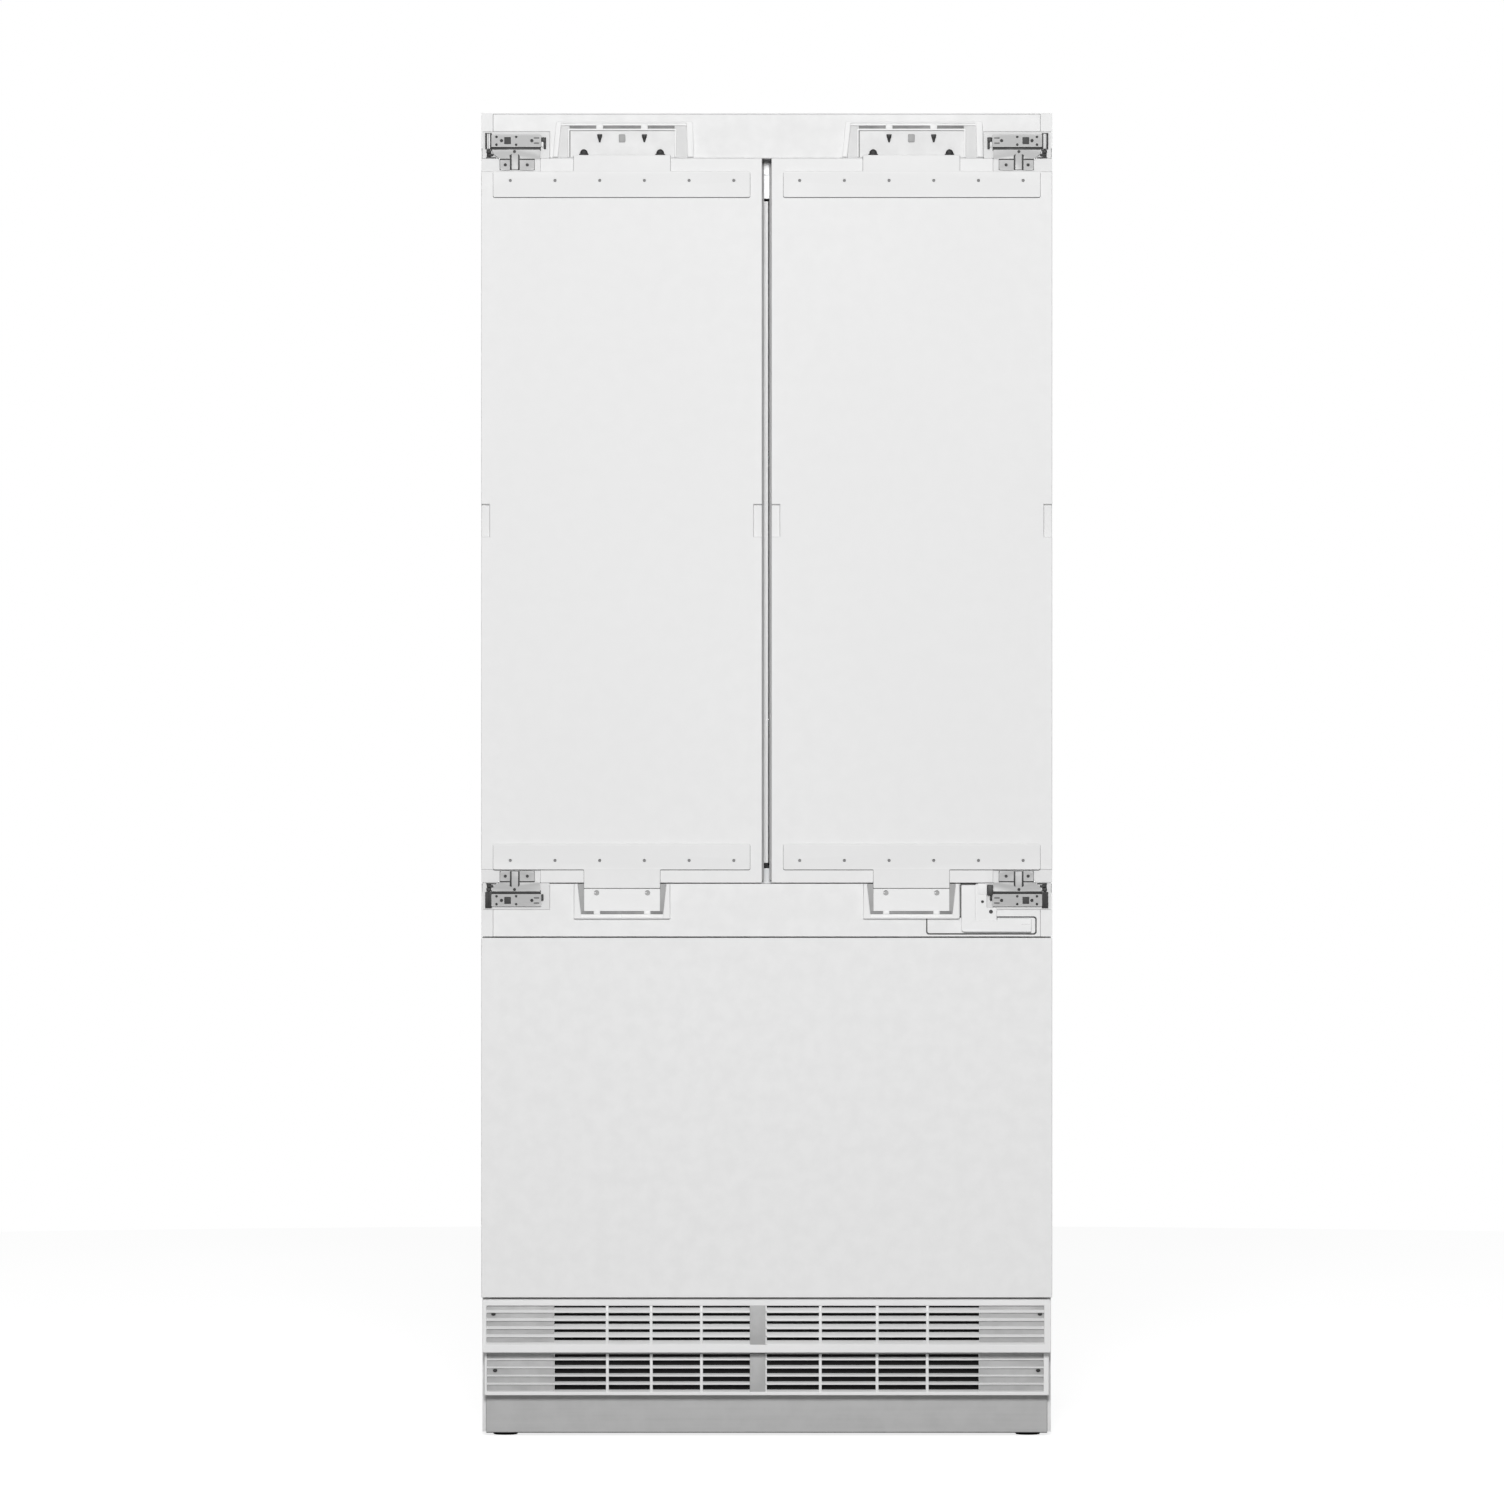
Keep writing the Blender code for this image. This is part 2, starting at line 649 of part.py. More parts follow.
def make_fridge_inside():
    liner = make_liner(
        "fridge_liner",
        FRIDGE_FLOOR,
        FRIDGE_ROOF,
        (DIVIDE + CLEAR, HEIGHT - SHEET - CLEAR),
    )
    back = LINER_BACK - LINER
    duct = (FRIDGE_FLOOR + DUCT_RISE, FRIDGE_ROOF - DUCT_DROP)
    ledges = [
        box(
            sided(side, LINER_IN - LEDGE_WIDTH, LINER_IN + LINER / 2),
            (SHELF_FRONT + LEDGE_SETBACK, SHELF_BACK),
            (shelf - LEDGE_HEIGHT - CLEAR, shelf - CLEAR),
        )
        for side in (-1, 1)
        for shelf in (LOWER_SHELF, UPPER_SHELF)
    ]
    guide = box(
        (-GUIDE_HALF_WIDTH, GUIDE_HALF_WIDTH),
        (CABINET_FACE + SHEET / 2, CABINET_FACE + MULLION_THICKNESS),
        (DOOR_TOP - MULLION_TOP_DROP + GUIDE_GAP, FRIDGE_ROOF + LINER / 2),
    )
    rib = box(
        (-FLOOR_RIB_WIDTH / 2, FLOOR_RIB_WIDTH / 2),
        (SHELF_FRONT + LEDGE_SETBACK, back + LINER / 2),
        (FRIDGE_FLOOR - LINER / 2, FRIDGE_FLOOR + FLOOR_RIB_HEIGHT),
    )
    join(
        liner,
        box((-DUCT_WIDTH / 2, DUCT_WIDTH / 2), (back - DUCT_DEPTH, back + LINER / 2), duct),
        *ledges,
        guide,
        rib,
    )

    for name, height in (("glass_shelf_lower", LOWER_SHELF), ("glass_shelf_upper", UPPER_SHELF)):
        shelf = solid(
            name,
            "glass",
            box(
                (-LINER_IN + SHELF_SIDE_GAP, LINER_IN - SHELF_SIDE_GAP),
                (SHELF_FRONT, SHELF_BACK),
                (height, height + SHELF_THICKNESS),
            ),
        )
        cut(
            shelf,
            box(
                (-LINER_IN + SHELF_SIDE_GAP + SHELF_FRAME, LINER_IN - SHELF_SIDE_GAP - SHELF_FRAME),
                (SHELF_FRONT + SHELF_FRAME, SHELF_BACK - SHELF_FRAME),
                (height - OVERLAP, height + SHELF_THICKNESS - SHELF_GLASS),
            ),
        )

    solid(
        "control_panel",
        "panel_dark",
        box(
            (-CONTROL_WIDTH / 2, CONTROL_WIDTH / 2),
            (CABINET_FACE + CONTROL_SETBACK, CABINET_FACE + CONTROL_SETBACK + CONTROL_DEPTH),
            (FRIDGE_ROOF - CLEAR - CONTROL_THICKNESS, FRIDGE_ROOF - CLEAR),
        ),
    )
    return liner


def make_tub(name, look, xs, ys, zs, wall=TUB_WALL, rim=TUB_RIM_HEIGHT):
    """An open-topped tub with a flat rim round its mouth."""
    tub = solid(name, look, box(xs, ys, zs))
    low_x, high_x = sorted(xs)
    inner_x = (low_x + rim + wall, high_x - rim - wall)
    inner_y = (ys[0] + rim + wall, ys[1] - rim - wall)
    below = (zs[0] - BEYOND, zs[1] - TUB_RIM_HEIGHT)
    outer = (low_x - BEYOND, high_x + BEYOND)
    # The rim overhangs the walls, which are the block cut back below it on four sides.
    cut(tub, box((low_x - BEYOND, low_x + rim), (ys[0] - BEYOND, ys[1] + BEYOND), below))
    cut(tub, box((high_x - rim, high_x + BEYOND), (ys[0] - BEYOND, ys[1] + BEYOND), below))
    cut(tub, box(outer, (ys[1] - rim, ys[1] + BEYOND), below))
    cut(tub, box(outer, (ys[0] - BEYOND, ys[0] + rim), below))
    cut(tub, box(inner_x, inner_y, (zs[0] + wall, zs[1] + BEYOND)))
    return tub


def make_crispers():
    front = SHELF_FRONT + CRISPER_SETBACK
    top = FRIDGE_FLOOR + CRISPER_HEIGHT
    for side in (-1, 1):
        name = f"crisper_{name_of(side)}"
        tub = make_tub(
            name,
            "clear_plastic",
            sided(side, CRISPER_GAP, LINER_IN - LEDGE_WIDTH - CRISPER_GAP),
            (front, front + CRISPER_DEPTH),
            (FRIDGE_FLOOR + CLEAR, top),
        )
        grip = box(
            sided(side, *CRISPER_GRIP),
            (front + TUB_RIM_HEIGHT - OVERLAP, front - CRISPER_GRIP_PROUD),
            (top - OVERLAP - CRISPER_GRIP_HEIGHT, top - OVERLAP),
        )
        join(tub, grip)
        carrier(f"{name}_slide", (side * sum(CRISPER_GRIP) / 2, SHELF_FRONT, FRIDGE_FLOOR), tub)


# Rails across the front


def make_rail(name, low, high):
    rail = solid(
        name,
        "white_plastic",
        box(
            (-HALF + EAR_WIDTH + CLEAR, HALF - EAR_WIDTH - CLEAR),
            (RAIL_FACE, CABINET_FACE - CLEAR),
            (low, high),
        ),
    )
    # Hollow from behind, as a moulding is
    wall = RAIL_WALL
    hollow_half = HALF - POCKET_LENGTH - wall
    cut(
        rail,
        box((-hollow_half, hollow_half), (RAIL_FACE + wall, CABINET_FACE), (low + wall, high - wall)),
    )
    cut(rail, *hinge_pockets())
    return rail


def make_top_frame(side):
    """The frame on the top rail: two legs, a lip over a slot, and a tray with a raised rim."""
    name = f"top_frame_{name_of(side)}"
    centre = side * FRAME_CENTRE
    half = TOP_FRAME_WIDTH / 2
    low = TOP_RAIL_BOTTOM
    high = DOOR_TOP + TOP_FRAME_RISE
    back = RAIL_FACE - CLEAR
    face = FRONT + FRAME_RECESS
    frame = solid(name, "white_plastic", box((centre - half, centre + half), (face, back), (low, high)))
    inner = half - FRAME_LEG
    inside = (centre - inner, centre + inner)
    slot = high - FRAME_LIP
    # The mouth is cut down to a thin back, then opened at the slot under the lip.
    cut(frame, box(inside, (FRONT - BEYOND, back - TOP_FRAME_BACK), (low - BEYOND, slot)))
    cut(frame, box(inside, (FRONT, back + BEYOND), (slot - FRAME_SLOT, slot - CLEAR)))
    tray = TOP_TRAY_WIDTH / 2
    rim_top = slot - FRAME_SLOT
    rim = (face + TOP_TRAY_SETBACK, back - OVERLAP)
    join(
        frame,
        box((centre - tray, centre + tray), rim, (rim_top - TOP_TRAY_EDGE, rim_top)),
        box((centre - tray, centre - tray + TOP_TRAY_RIM), rim, (low, rim_top)),
        box((centre + tray - TOP_TRAY_RIM, centre + tray), rim, (low, rim_top)),
    )
    return frame


def make_bottom_frame(side):
    """The frame on the middle rail: two legs, a lip under a slot, and a plate between them."""
    name = f"bottom_frame_{name_of(side)}"
    centre = side * FRAME_CENTRE
    half = BOTTOM_FRAME_WIDTH / 2
    high = MID_RAIL_TOP
    low = DOOR_BOTTOM - BOTTOM_FRAME_RISE
    back = RAIL_FACE - CLEAR
    face = FRONT + FRAME_RECESS
    frame = solid(name, "white_plastic", box((centre - half, centre + half), (face, back), (low, high)))
    inner = half - FRAME_LEG
    slot = low + BOTTOM_FRAME_LIP
    plate = DOOR_BOTTOM - BOTTOM_TAB_RISE - BOTTOM_TAB_GAP
    inside = (centre - inner, centre + inner)
    cut(frame, box(inside, (FRONT - BEYOND, back - BOTTOM_PLATE_BACK), (slot + FRAME_SLOT, high + BEYOND)))
    cut(frame, box(inside, (FRONT - BEYOND, back - OVERLAP), (plate, high + BEYOND)))
    cut(frame, box(inside, (FRONT - BEYOND, back + BEYOND), (slot, slot + FRAME_SLOT)))
    level = DOOR_BOTTOM - BOTTOM_PLATE_HOLE_DROP
    holes = [
        rod("y", (centre + out, level), (FRONT - BEYOND, back - OVERLAP), BOTTOM_PLATE_HOLE)
        for out in (-BOTTOM_PLATE_HOLE_OUT, BOTTOM_PLATE_HOLE_OUT)
    ]
    cut(frame, *holes)
    return frame


# Hinges


def hinge_levels(up, edge):
    leaf_low = edge + up * LEAF_LIFT
    leaf_high = edge + up * LEAF_RISE
    plate_low = leaf_high + up * HINGE_GAP
    plate_high = plate_low + up * HINGE_PLATE_HEIGHT
    return leaf_low, leaf_high, plate_low, plate_high


def make_fixed_hinge(side, up, edge):
    """The hinge's body in the rail, with the pin that the door turns on."""
    place = "top" if up > 0 else "bottom"
    leaf_low, leaf_high, low, high = hinge_levels(up, edge)
    start = HALF - HINGE_PLATE_START
    end = start - HINGE_PLATE_LENGTH
    back = HINGE_FACE + HINGE_BODY_DEPTH
    middle = (low + high) / 2
    hinge = solid(
        f"hinge_{place}_{name_of(side)}",
        "hinge_steel",
        box(sided(side, end, start), (HINGE_FACE, back), (low, high)),
    )
    pivot = (side * PIVOT_X, PIVOT_Y)
    join(
        hinge,
        box(
            sided(side, start - HINGE_END_TRIM, PIVOT_X + EYE_RADIUS - PIN_CLEAR),
            (PIVOT_Y - EYE_RADIUS, PIVOT_Y + EYE_RADIUS),
            (low, high),
        ),
        box(
            sided(side, end + OVERLAP, end - HINGE_END_LENGTH),
            (HINGE_FACE + LEAF_THICKNESS, back),
            (low + up * HINGE_END_TRIM, high - up * HINGE_END_TRIM),
        ),
        rod("z", pivot, (leaf_low, low + up * HINGE_END_TRIM), PIN_RADIUS),
    )
    window = start - HINGE_WINDOW_START
    screw_depth = (FRONT - BEYOND, HINGE_FACE + HINGE_SCREW_DEPTH)
    cut(
        hinge,
        box(
            sided(side, window - HINGE_WINDOW_WIDTH / 2, window + HINGE_WINDOW_WIDTH / 2),
            (FRONT - BEYOND, HINGE_FACE + HINGE_WINDOW_DEPTH),
            (middle - HINGE_WINDOW_HEIGHT / 2, middle + HINGE_WINDOW_HEIGHT / 2),
        ),
        *(
            rod("y", (side * (start - inward), middle), screw_depth, HINGE_SCREW_RADIUS, SMALL_ROUND)
            for inward in HINGE_SCREW_PLACES
        ),
    )
    return hinge


def make_leaf(side, up, edge):
    """The hinge's leaf, screwed in the door's pocket, with an eye round the pin."""
    place = "top" if up > 0 else "bottom"
    low, high, _, _ = hinge_levels(up, edge)
    start = HALF - HINGE_PLATE_START
    end = start - HINGE_PLATE_LENGTH
    plate_back = HINGE_FACE + LEAF_THICKNESS
    leaf = solid(
        f"leaf_{place}_{name_of(side)}",
        "hinge_steel",
        box(sided(side, end, start - LEAF_END_INSET), (HINGE_FACE, plate_back), (low, high)),
    )
    floor = DOOR_FACE + DOOR_POCKET_DEPTH - CLEAR
    pivot = (side * PIVOT_X, PIVOT_Y)
    join(
        leaf,
        box(
            sided(side, end + LEAF_TONGUE_INSET, start - LEAF_TONGUE_START),
            (plate_back - OVERLAP, floor),
            (low + up * LEAF_ROOT, edge - up * LEAF_TONGUE_TAIL),
        ),
        box(
            sided(side, start - LEAF_ARM_START, PIVOT_X - OVERLAP),
            (plate_back - LEAF_THICKNESS / 2, PIVOT_Y + LEAF_THICKNESS),
            (low, high),
        ),
        rod("z", pivot, (low, high), EYE_RADIUS),
    )
    bore = (low - up * BEYOND, high + up * BEYOND)
    cut(leaf, rod("z", pivot, bore, PIN_RADIUS + PIN_CLEAR))
    return leaf


# Doors


def door_pockets(side, grow=0.0):
    """The recesses for the hinge leaves and the two edge notches of a door."""
    shapes = []
    deep = (FRONT - BEYOND, DOOR_FACE + DOOR_POCKET_DEPTH + grow)
    outer = HALF + BEYOND
    for up, edge in ((1, DOOR_TOP), (-1, DOOR_BOTTOM)):
        across = sided(side, HALF - DOOR_POCKET_LENGTH - grow, outer)
        shapes.append(box(across, deep, (edge + up * BEYOND, edge - up * (DOOR_POCKET_HEIGHT + grow))))
    middle = DOOR_BOTTOM + NOTCH_CENTRE
    tall = (middle - NOTCH_HEIGHT / 2 - grow, middle + NOTCH_HEIGHT / 2 + grow)
    shallow = (FRONT - BEYOND, DOOR_FACE + NOTCH_DEPTH + grow)
    shapes.append(box(sided(side, HALF - NOTCH_WIDTH - grow, outer), shallow, tall))
    shapes.append(box(sided(side, -BEYOND, DOOR_GAP / 2 + NOTCH_WIDTH + grow), shallow, tall))
    return shapes


def make_pan(name, xs, zs):
    """A door's outer skin: a sheet pan that is open at the back."""
    return solid(name, "white_paint", box(xs, (DOOR_FACE, DOOR_BACK), zs))


def hollow_pan(pan, xs, zs, keep=()):
    """Empties a pan, leaving a sheet's thickness round it and round what keep lists."""
    low, high = sorted(xs)
    hollow = box(
        (low + SHEET, high - SHEET),
        (DOOR_FACE + SHEET, DOOR_BACK + BEYOND),
        (zs[0] + SHEET, zs[1] - SHEET),
    )
    inside = helper(f"{pan.name}_hollow", [hollow])
    if keep:
        combine(inside, helper(f"{pan.name}_keep", keep), "DIFFERENCE")
    combine(pan, inside, "DIFFERENCE")


def make_gasket(name, xs, zs):
    """A square ring of gasket on a door's back."""
    low, high = sorted(xs)
    ys = (DOOR_BACK + CLEAR, CABINET_FACE - CLEAR)
    ring = solid(name, "grey_rubber", box((low, high), ys, zs))
    cut(
        ring,
        box(
            (low + GASKET_WIDTH, high - GASKET_WIDTH),
            (FRONT, BACK),
            (zs[0] + GASKET_WIDTH, zs[1] - GASKET_WIDTH),
        ),
    )
    return ring


def make_strip(name, side, up, edge, tab_width, tab_rise):
    """A panel strip on a door's face, with a tab that reaches past the door's edge."""
    near = HALF - STRIP_INSET - STRIP_LENGTH
    far = HALF - STRIP_INSET
    ys = (DOOR_FACE - CLEAR - STRIP_THICKNESS, DOOR_FACE - CLEAR)
    outer = edge - up * STRIP_FROM_EDGE
    inner = outer - up * STRIP_HEIGHT
    strip = solid(name, "white_plastic", box(sided(side, near, far), ys, (inner, outer)))
    centre = side * FRAME_CENTRE
    tab = (centre - tab_width / 2, centre + tab_width / 2)
    join(strip, box(tab, ys, (outer - up * BEYOND, edge + up * tab_rise)))
    level = outer - up * STRIP_HOLE_INSET
    first = -(STRIP_HOLES - 1) / 2
    holes = [
        rod(
            "y",
            (centre + (first + i) * STRIP_HOLE_PITCH, level),
            (FRONT - BEYOND, DOOR_FACE + BEYOND),
            STRIP_HOLE_RADIUS,
            SMALL_ROUND,
        )
        for i in range(STRIP_HOLES)
    ]
    cut(strip, *holes)
    return strip


def make_door_liner(side, xs, zs):
    """The plate that closes a door's back, with the two ridges that carry the bins."""
    low, high = sorted(xs)
    edge = SHEET + CLEAR
    liner = solid(
        f"{name_of(side)}_door_liner",
        "liner_plastic",
        box((low + edge, high - edge), (DOOR_BACK - LINER_PLATE, DOOR_BACK), (zs[0] + edge, zs[1] - edge)),
    )
    ys = (DOOR_BACK - LINER_PLATE / 2, DOOR_BACK + RIDGE_DEPTH)
    tall = (zs[0] + RIDGE_END, zs[1] - RIDGE_END)
    for start in (DOOR_GAP / 2 + RIDGE_FREE_INSET, HALF - RIDGE_HINGE_INSET - RIDGE_WIDTH):
        join(liner, box(sided(side, start, start + RIDGE_WIDTH), ys, tall))
    if side < 0:
        # Lugs with pins that the flip mullion turns on
        bottom = DOOR_BOTTOM + MULLION_BOTTOM_RISE
        top = DOOR_TOP - MULLION_TOP_DROP
        for end, out in ((bottom, -1), (top, 1)):
            lug = (end + out * 2 * CLEAR, end + out * LUG_HEIGHT)
            pin = (end - out * LUG_PIN[0], end + out * LUG_PIN[1])
            join(
                liner,
                box(
                    (MULLION_PIVOT - LUG_HALF, MULLION_PIVOT + LUG_HALF),
                    (DOOR_BACK - LINER_PLATE / 2, MULLION_Y + LUG_HALF),
                    lug,
                ),
                rod("z", (MULLION_PIVOT, MULLION_Y), pin, PIN_RADIUS, SMALL_ROUND),
            )
    return liner


def make_bin(side, index, rise):
    near = DOOR_GAP / 2 + RIDGE_FREE_INSET + RIDGE_WIDTH + CLEAR
    far = HALF - RIDGE_HINGE_INSET - RIDGE_WIDTH - CLEAR
    low = DOOR_BOTTOM + rise
    return make_tub(
        f"{name_of(side)}_door_bin_{index}",
        "clear_plastic",
        sided(side, near, far),
        (DOOR_BACK + CLEAR, DOOR_BACK + BIN_DEPTH),
        (low, low + BIN_HEIGHT),
        rim=SMALL_RIM,
    )


def make_mullion():
    """The bar that closes the gap behind the doors and folds in with the left door."""
    low = DOOR_BOTTOM + MULLION_BOTTOM_RISE
    high = DOOR_TOP - MULLION_TOP_DROP
    face = CABINET_FACE + CLEAR
    bar = solid(
        "flip_mullion",
        "white_plastic",
        box((MULLION_LEFT, MULLION_RIGHT), (face, face + MULLION_THICKNESS), (low, high)),
    )
    # Its right side slopes back from the front corner, to pass the right door.
    slope = math.atan2(MULLION_TAPER, MULLION_THICKNESS)
    corner = Matrix.Translation((MULLION_RIGHT, face, 0)) @ Matrix.Rotation(slope, 4, "Z")
    wedge = box((0, 2 * BEYOND), (-BEYOND, MULLION_THICKNESS + 2 * BEYOND), (low - BEYOND, high + BEYOND))
    cut(bar, turned(wedge, corner))
    for end, into in ((low, 1), (high, -1)):
        hole = (end - into * BEYOND, end + into * MULLION_HOLE)
        cut(bar, rod("z", (MULLION_PIVOT, MULLION_Y), hole, PIN_RADIUS + PIN_CLEAR, SMALL_ROUND))
    return bar


def make_harness_cover():
    """The bent cover of the wires that go into the right door, past its lower hinge."""
    face = FRONT
    back = RAIL_FACE - CLEAR
    foot_top = DOOR_BOTTOM - CLEAR
    arm = MID_RAIL_BOTTOM + HARNESS_FOOT
    arm_top = arm + HARNESS_ARM_HEIGHT
    *_, hinge_low = hinge_levels(-1, DOOR_BOTTOM)
    web_y = (face + HARNESS_STEP, back)
    cover = solid(
        "harness_cover",
        "white_plastic",
        box(sided_in(HARNESS_POST), (face, back), (arm, MID_RAIL_TOP - 2 * OVERLAP)),
    )
    join(
        cover,
        box(sided_in(HARNESS_ARM), (face + CLEAR, back), (arm, arm_top)),
        box(sided_in(HARNESS_WEB), web_y, (arm_top - OVERLAP, MID_RAIL_TOP - OVERLAP)),
        box(sided_in(HARNESS_BLOCK), web_y, (arm_top - OVERLAP, hinge_low - HARNESS_HINGE_GAP)),
        box(
            sided_in(HARNESS_CORNER),
            (back - 2 * OVERLAP, back + HARNESS_CORNER_DEPTH),
            (DOOR_BOTTOM - HARNESS_CORNER_HEIGHT, foot_top),
        ),
    )
    return cover


def make_door(side):
    name = name_of(side)
    xs = sided(side, DOOR_GAP / 2, HALF)
    zs = (DOOR_BOTTOM, DOOR_TOP)
    pan = make_pan(f"{name}_door_panel", xs, zs)
    cut(pan, *door_pockets(side))
    hollow_pan(pan, xs, zs, door_pockets(side, SHEET))
    liner = make_door_liner(side, xs, zs)
    inset = GASKET_INSET
    gasket = make_gasket(
        f"{name}_door_gasket",
        sided(side, DOOR_GAP / 2 - GASKET_LAP, HALF - inset - GASKET_SIDE),
        (DOOR_BOTTOM + inset, DOOR_TOP - inset),
    )
    moving = [
        pan,
        liner,
        gasket,
        make_strip(f"{name}_strip_top", side, 1, DOOR_TOP, TOP_TAB_WIDTH, TOP_TAB_RISE),
        make_strip(f"{name}_strip_bottom", side, -1, DOOR_BOTTOM, BOTTOM_TAB_WIDTH, BOTTOM_TAB_RISE),
        make_leaf(side, 1, DOOR_TOP),
        make_leaf(side, -1, DOOR_BOTTOM),
    ]
    moving += [make_bin(side, i, rise) for i, rise in enumerate(BIN_RISES, 1)]
    if side > 0:
        moving.append(make_harness_cover())
    axis = carrier(f"{name}_door_axis", (side * PIVOT_X, PIVOT_Y, DOOR_BOTTOM), *moving)
    if side < 0:
        mullion = carrier("mullion_axis", (MULLION_PIVOT, MULLION_Y, DOOR_BOTTOM), make_mullion())
        mullion.parent = axis
        mullion.matrix_parent_inverse = axis.matrix_world.inverted()


# Freezer drawer


def make_slides():
    """The fixed tracks, and the middle members with the bar that keeps them level."""
    for side in (-1, 1):
        solid(
            f"drawer_track_{name_of(side)}",
            "galvanised",
            box(sided(side, TRACK_IN, LINER_IN - CLEAR), SLIDE_Y, SLIDE_LEVELS),
        )
    levels = (SLIDE_LEVELS[0] + MIDDLE_INSET, SLIDE_LEVELS[1] - MIDDLE_INSET)
    middle = solid(
        "drawer_middle_slides",
        "galvanised",
        box(sided(-1, MIDDLE_IN, MIDDLE_OUT), SLIDE_Y, levels),
    )
    bar = (SLIDE_Y[1] - SLIDE_BAR_INSET, levels[0] + SLIDE_BAR_RISE)
    join(
        middle,
        rod("x", bar, (-MIDDLE_IN - OVERLAP, MIDDLE_IN + OVERLAP), SLIDE_BAR_RADIUS, SMALL_ROUND),
        box(sided(1, MIDDLE_IN, MIDDLE_OUT), SLIDE_Y, levels),
    )
    carrier("middle_slides_travel", (0, SLIDE_Y[0], levels[0]), middle)


def make_drawer():
    xs = (-HALF, HALF)
    zs = (DRAWER_BOTTOM, DRAWER_TOP)
    pan = make_pan("drawer_panel", xs, zs)
    hollow_pan(pan, xs, zs)
    edge = SHEET + CLEAR
    liner = solid(
        "drawer_liner",
        "liner_plastic",
        box(
            (-HALF + edge, HALF - edge),
            (DOOR_BACK - LINER_PLATE, DOOR_BACK),
            (DRAWER_BOTTOM + edge, DRAWER_TOP - edge),
        ),
    )
    inset = GASKET_INSET
    gasket = make_gasket(
        "drawer_gasket",
        (-HALF + inset + GASKET_SIDE, HALF - inset - GASKET_SIDE),
        (DRAWER_BOTTOM + 2 * inset, DRAWER_TOP - inset),
    )
    basket = make_basket()
    tray = make_tray()
    axis = carrier("drawer_travel", (0, DOOR_BACK, DRAWER_BOTTOM), pan, liner, gasket, basket)
    travel = carrier("tray_travel", (0, TRAY_Y[0], TRAY_LOW), tray)
    travel.parent = axis
    travel.matrix_parent_inverse = axis.matrix_world.inverted()


def make_basket():
    """The deep tub on the drawer's runners, with a bracket to the front on each side."""
    levels = (SLIDE_LEVELS[0] + RUNNER_INSET, SLIDE_LEVELS[1] - RUNNER_INSET)
    basket = make_tub(
        "freezer_basket",
        "liner_plastic",
        (-BASKET_HALF, BASKET_HALF),
        (BASKET_FRONT, BASKET_BACK),
        (BASKET_LOW, BASKET_LOW + BASKET_HEIGHT),
        rim=BASKET_RIM,
    )
    for side in (-1, 1):
        runner = sided(side, BASKET_HALF - BASKET_RIM - OVERLAP, RUNNER_OUT)
        arm = sided(side, BASKET_HALF - BRACKET_WIDTH, RUNNER_OUT - SMALL_RIM)
        join(
            basket,
            box(runner, (BASKET_FRONT - OVERLAP, BASKET_BACK + RUNNER_TAIL), levels),
            box(arm, (DOOR_BACK + CLEAR, BASKET_FRONT + 2 * OVERLAP), (levels[0] - BRACKET_DROP, levels[1])),
        )
    return basket


def make_tray():
    """The shallow tray that slides back over the basket's rim."""
    return make_tub(
        "freezer_tray",
        "clear_plastic",
        (-BASKET_HALF + TRAY_SIDE_GAP, BASKET_HALF - TRAY_SIDE_GAP),
        TRAY_Y,
        (TRAY_LOW, TRAY_LOW + TRAY_HEIGHT),
        rim=SMALL_RIM,
    )


def make_fan(name, centre, y_span):
    """A hub with pitched blades, turning about a line from front to back."""
    x, z = centre
    middle = sum(y_span) / 2
    fan = solid(name, "black_plastic", rod("y", centre, y_span, FAN_HUB, MEDIUM_ROUND))
    blade = box(
        (-BLADE_WIDTH / 2, BLADE_WIDTH / 2),
        (-BLADE_THICKNESS / 2, BLADE_THICKNESS / 2),
        (FAN_HUB - BLADE_ROOT, FAN_RADIUS),
    )
    pitch = Matrix.Rotation(math.radians(BLADE_PITCH), 4, "Z")
    for i in range(FAN_BLADES):
        turn = Matrix.Rotation(2 * math.pi * i / FAN_BLADES, 4, "Y")
        join(fan, turned(blade, Matrix.Translation((x, middle, z)) @ turn @ pitch))
    carrier(f"{name}_axis", (x, middle, z), fan)
    return fan


def make_fin_block(name, xs, ys, zs, slots):
    """A coil: a block of fins, cut apart from the front on a solid back."""
    coil = solid(name, "coil_metal", box(xs, ys, zs))
    low, high = sorted(xs)
    pitch = (high - low) / (slots + 1)
    gaps = [
        box(
            (low + pitch * (i + 1) - pitch / 4, low + pitch * (i + 1) + pitch / 4),
            (ys[0] - BEYOND, ys[1] - FIN_BACK),
            (zs[0] - BEYOND, zs[1] + BEYOND),
        )
        for i in range(slots)
    ]
    cut(coil, *gaps)
    return coil


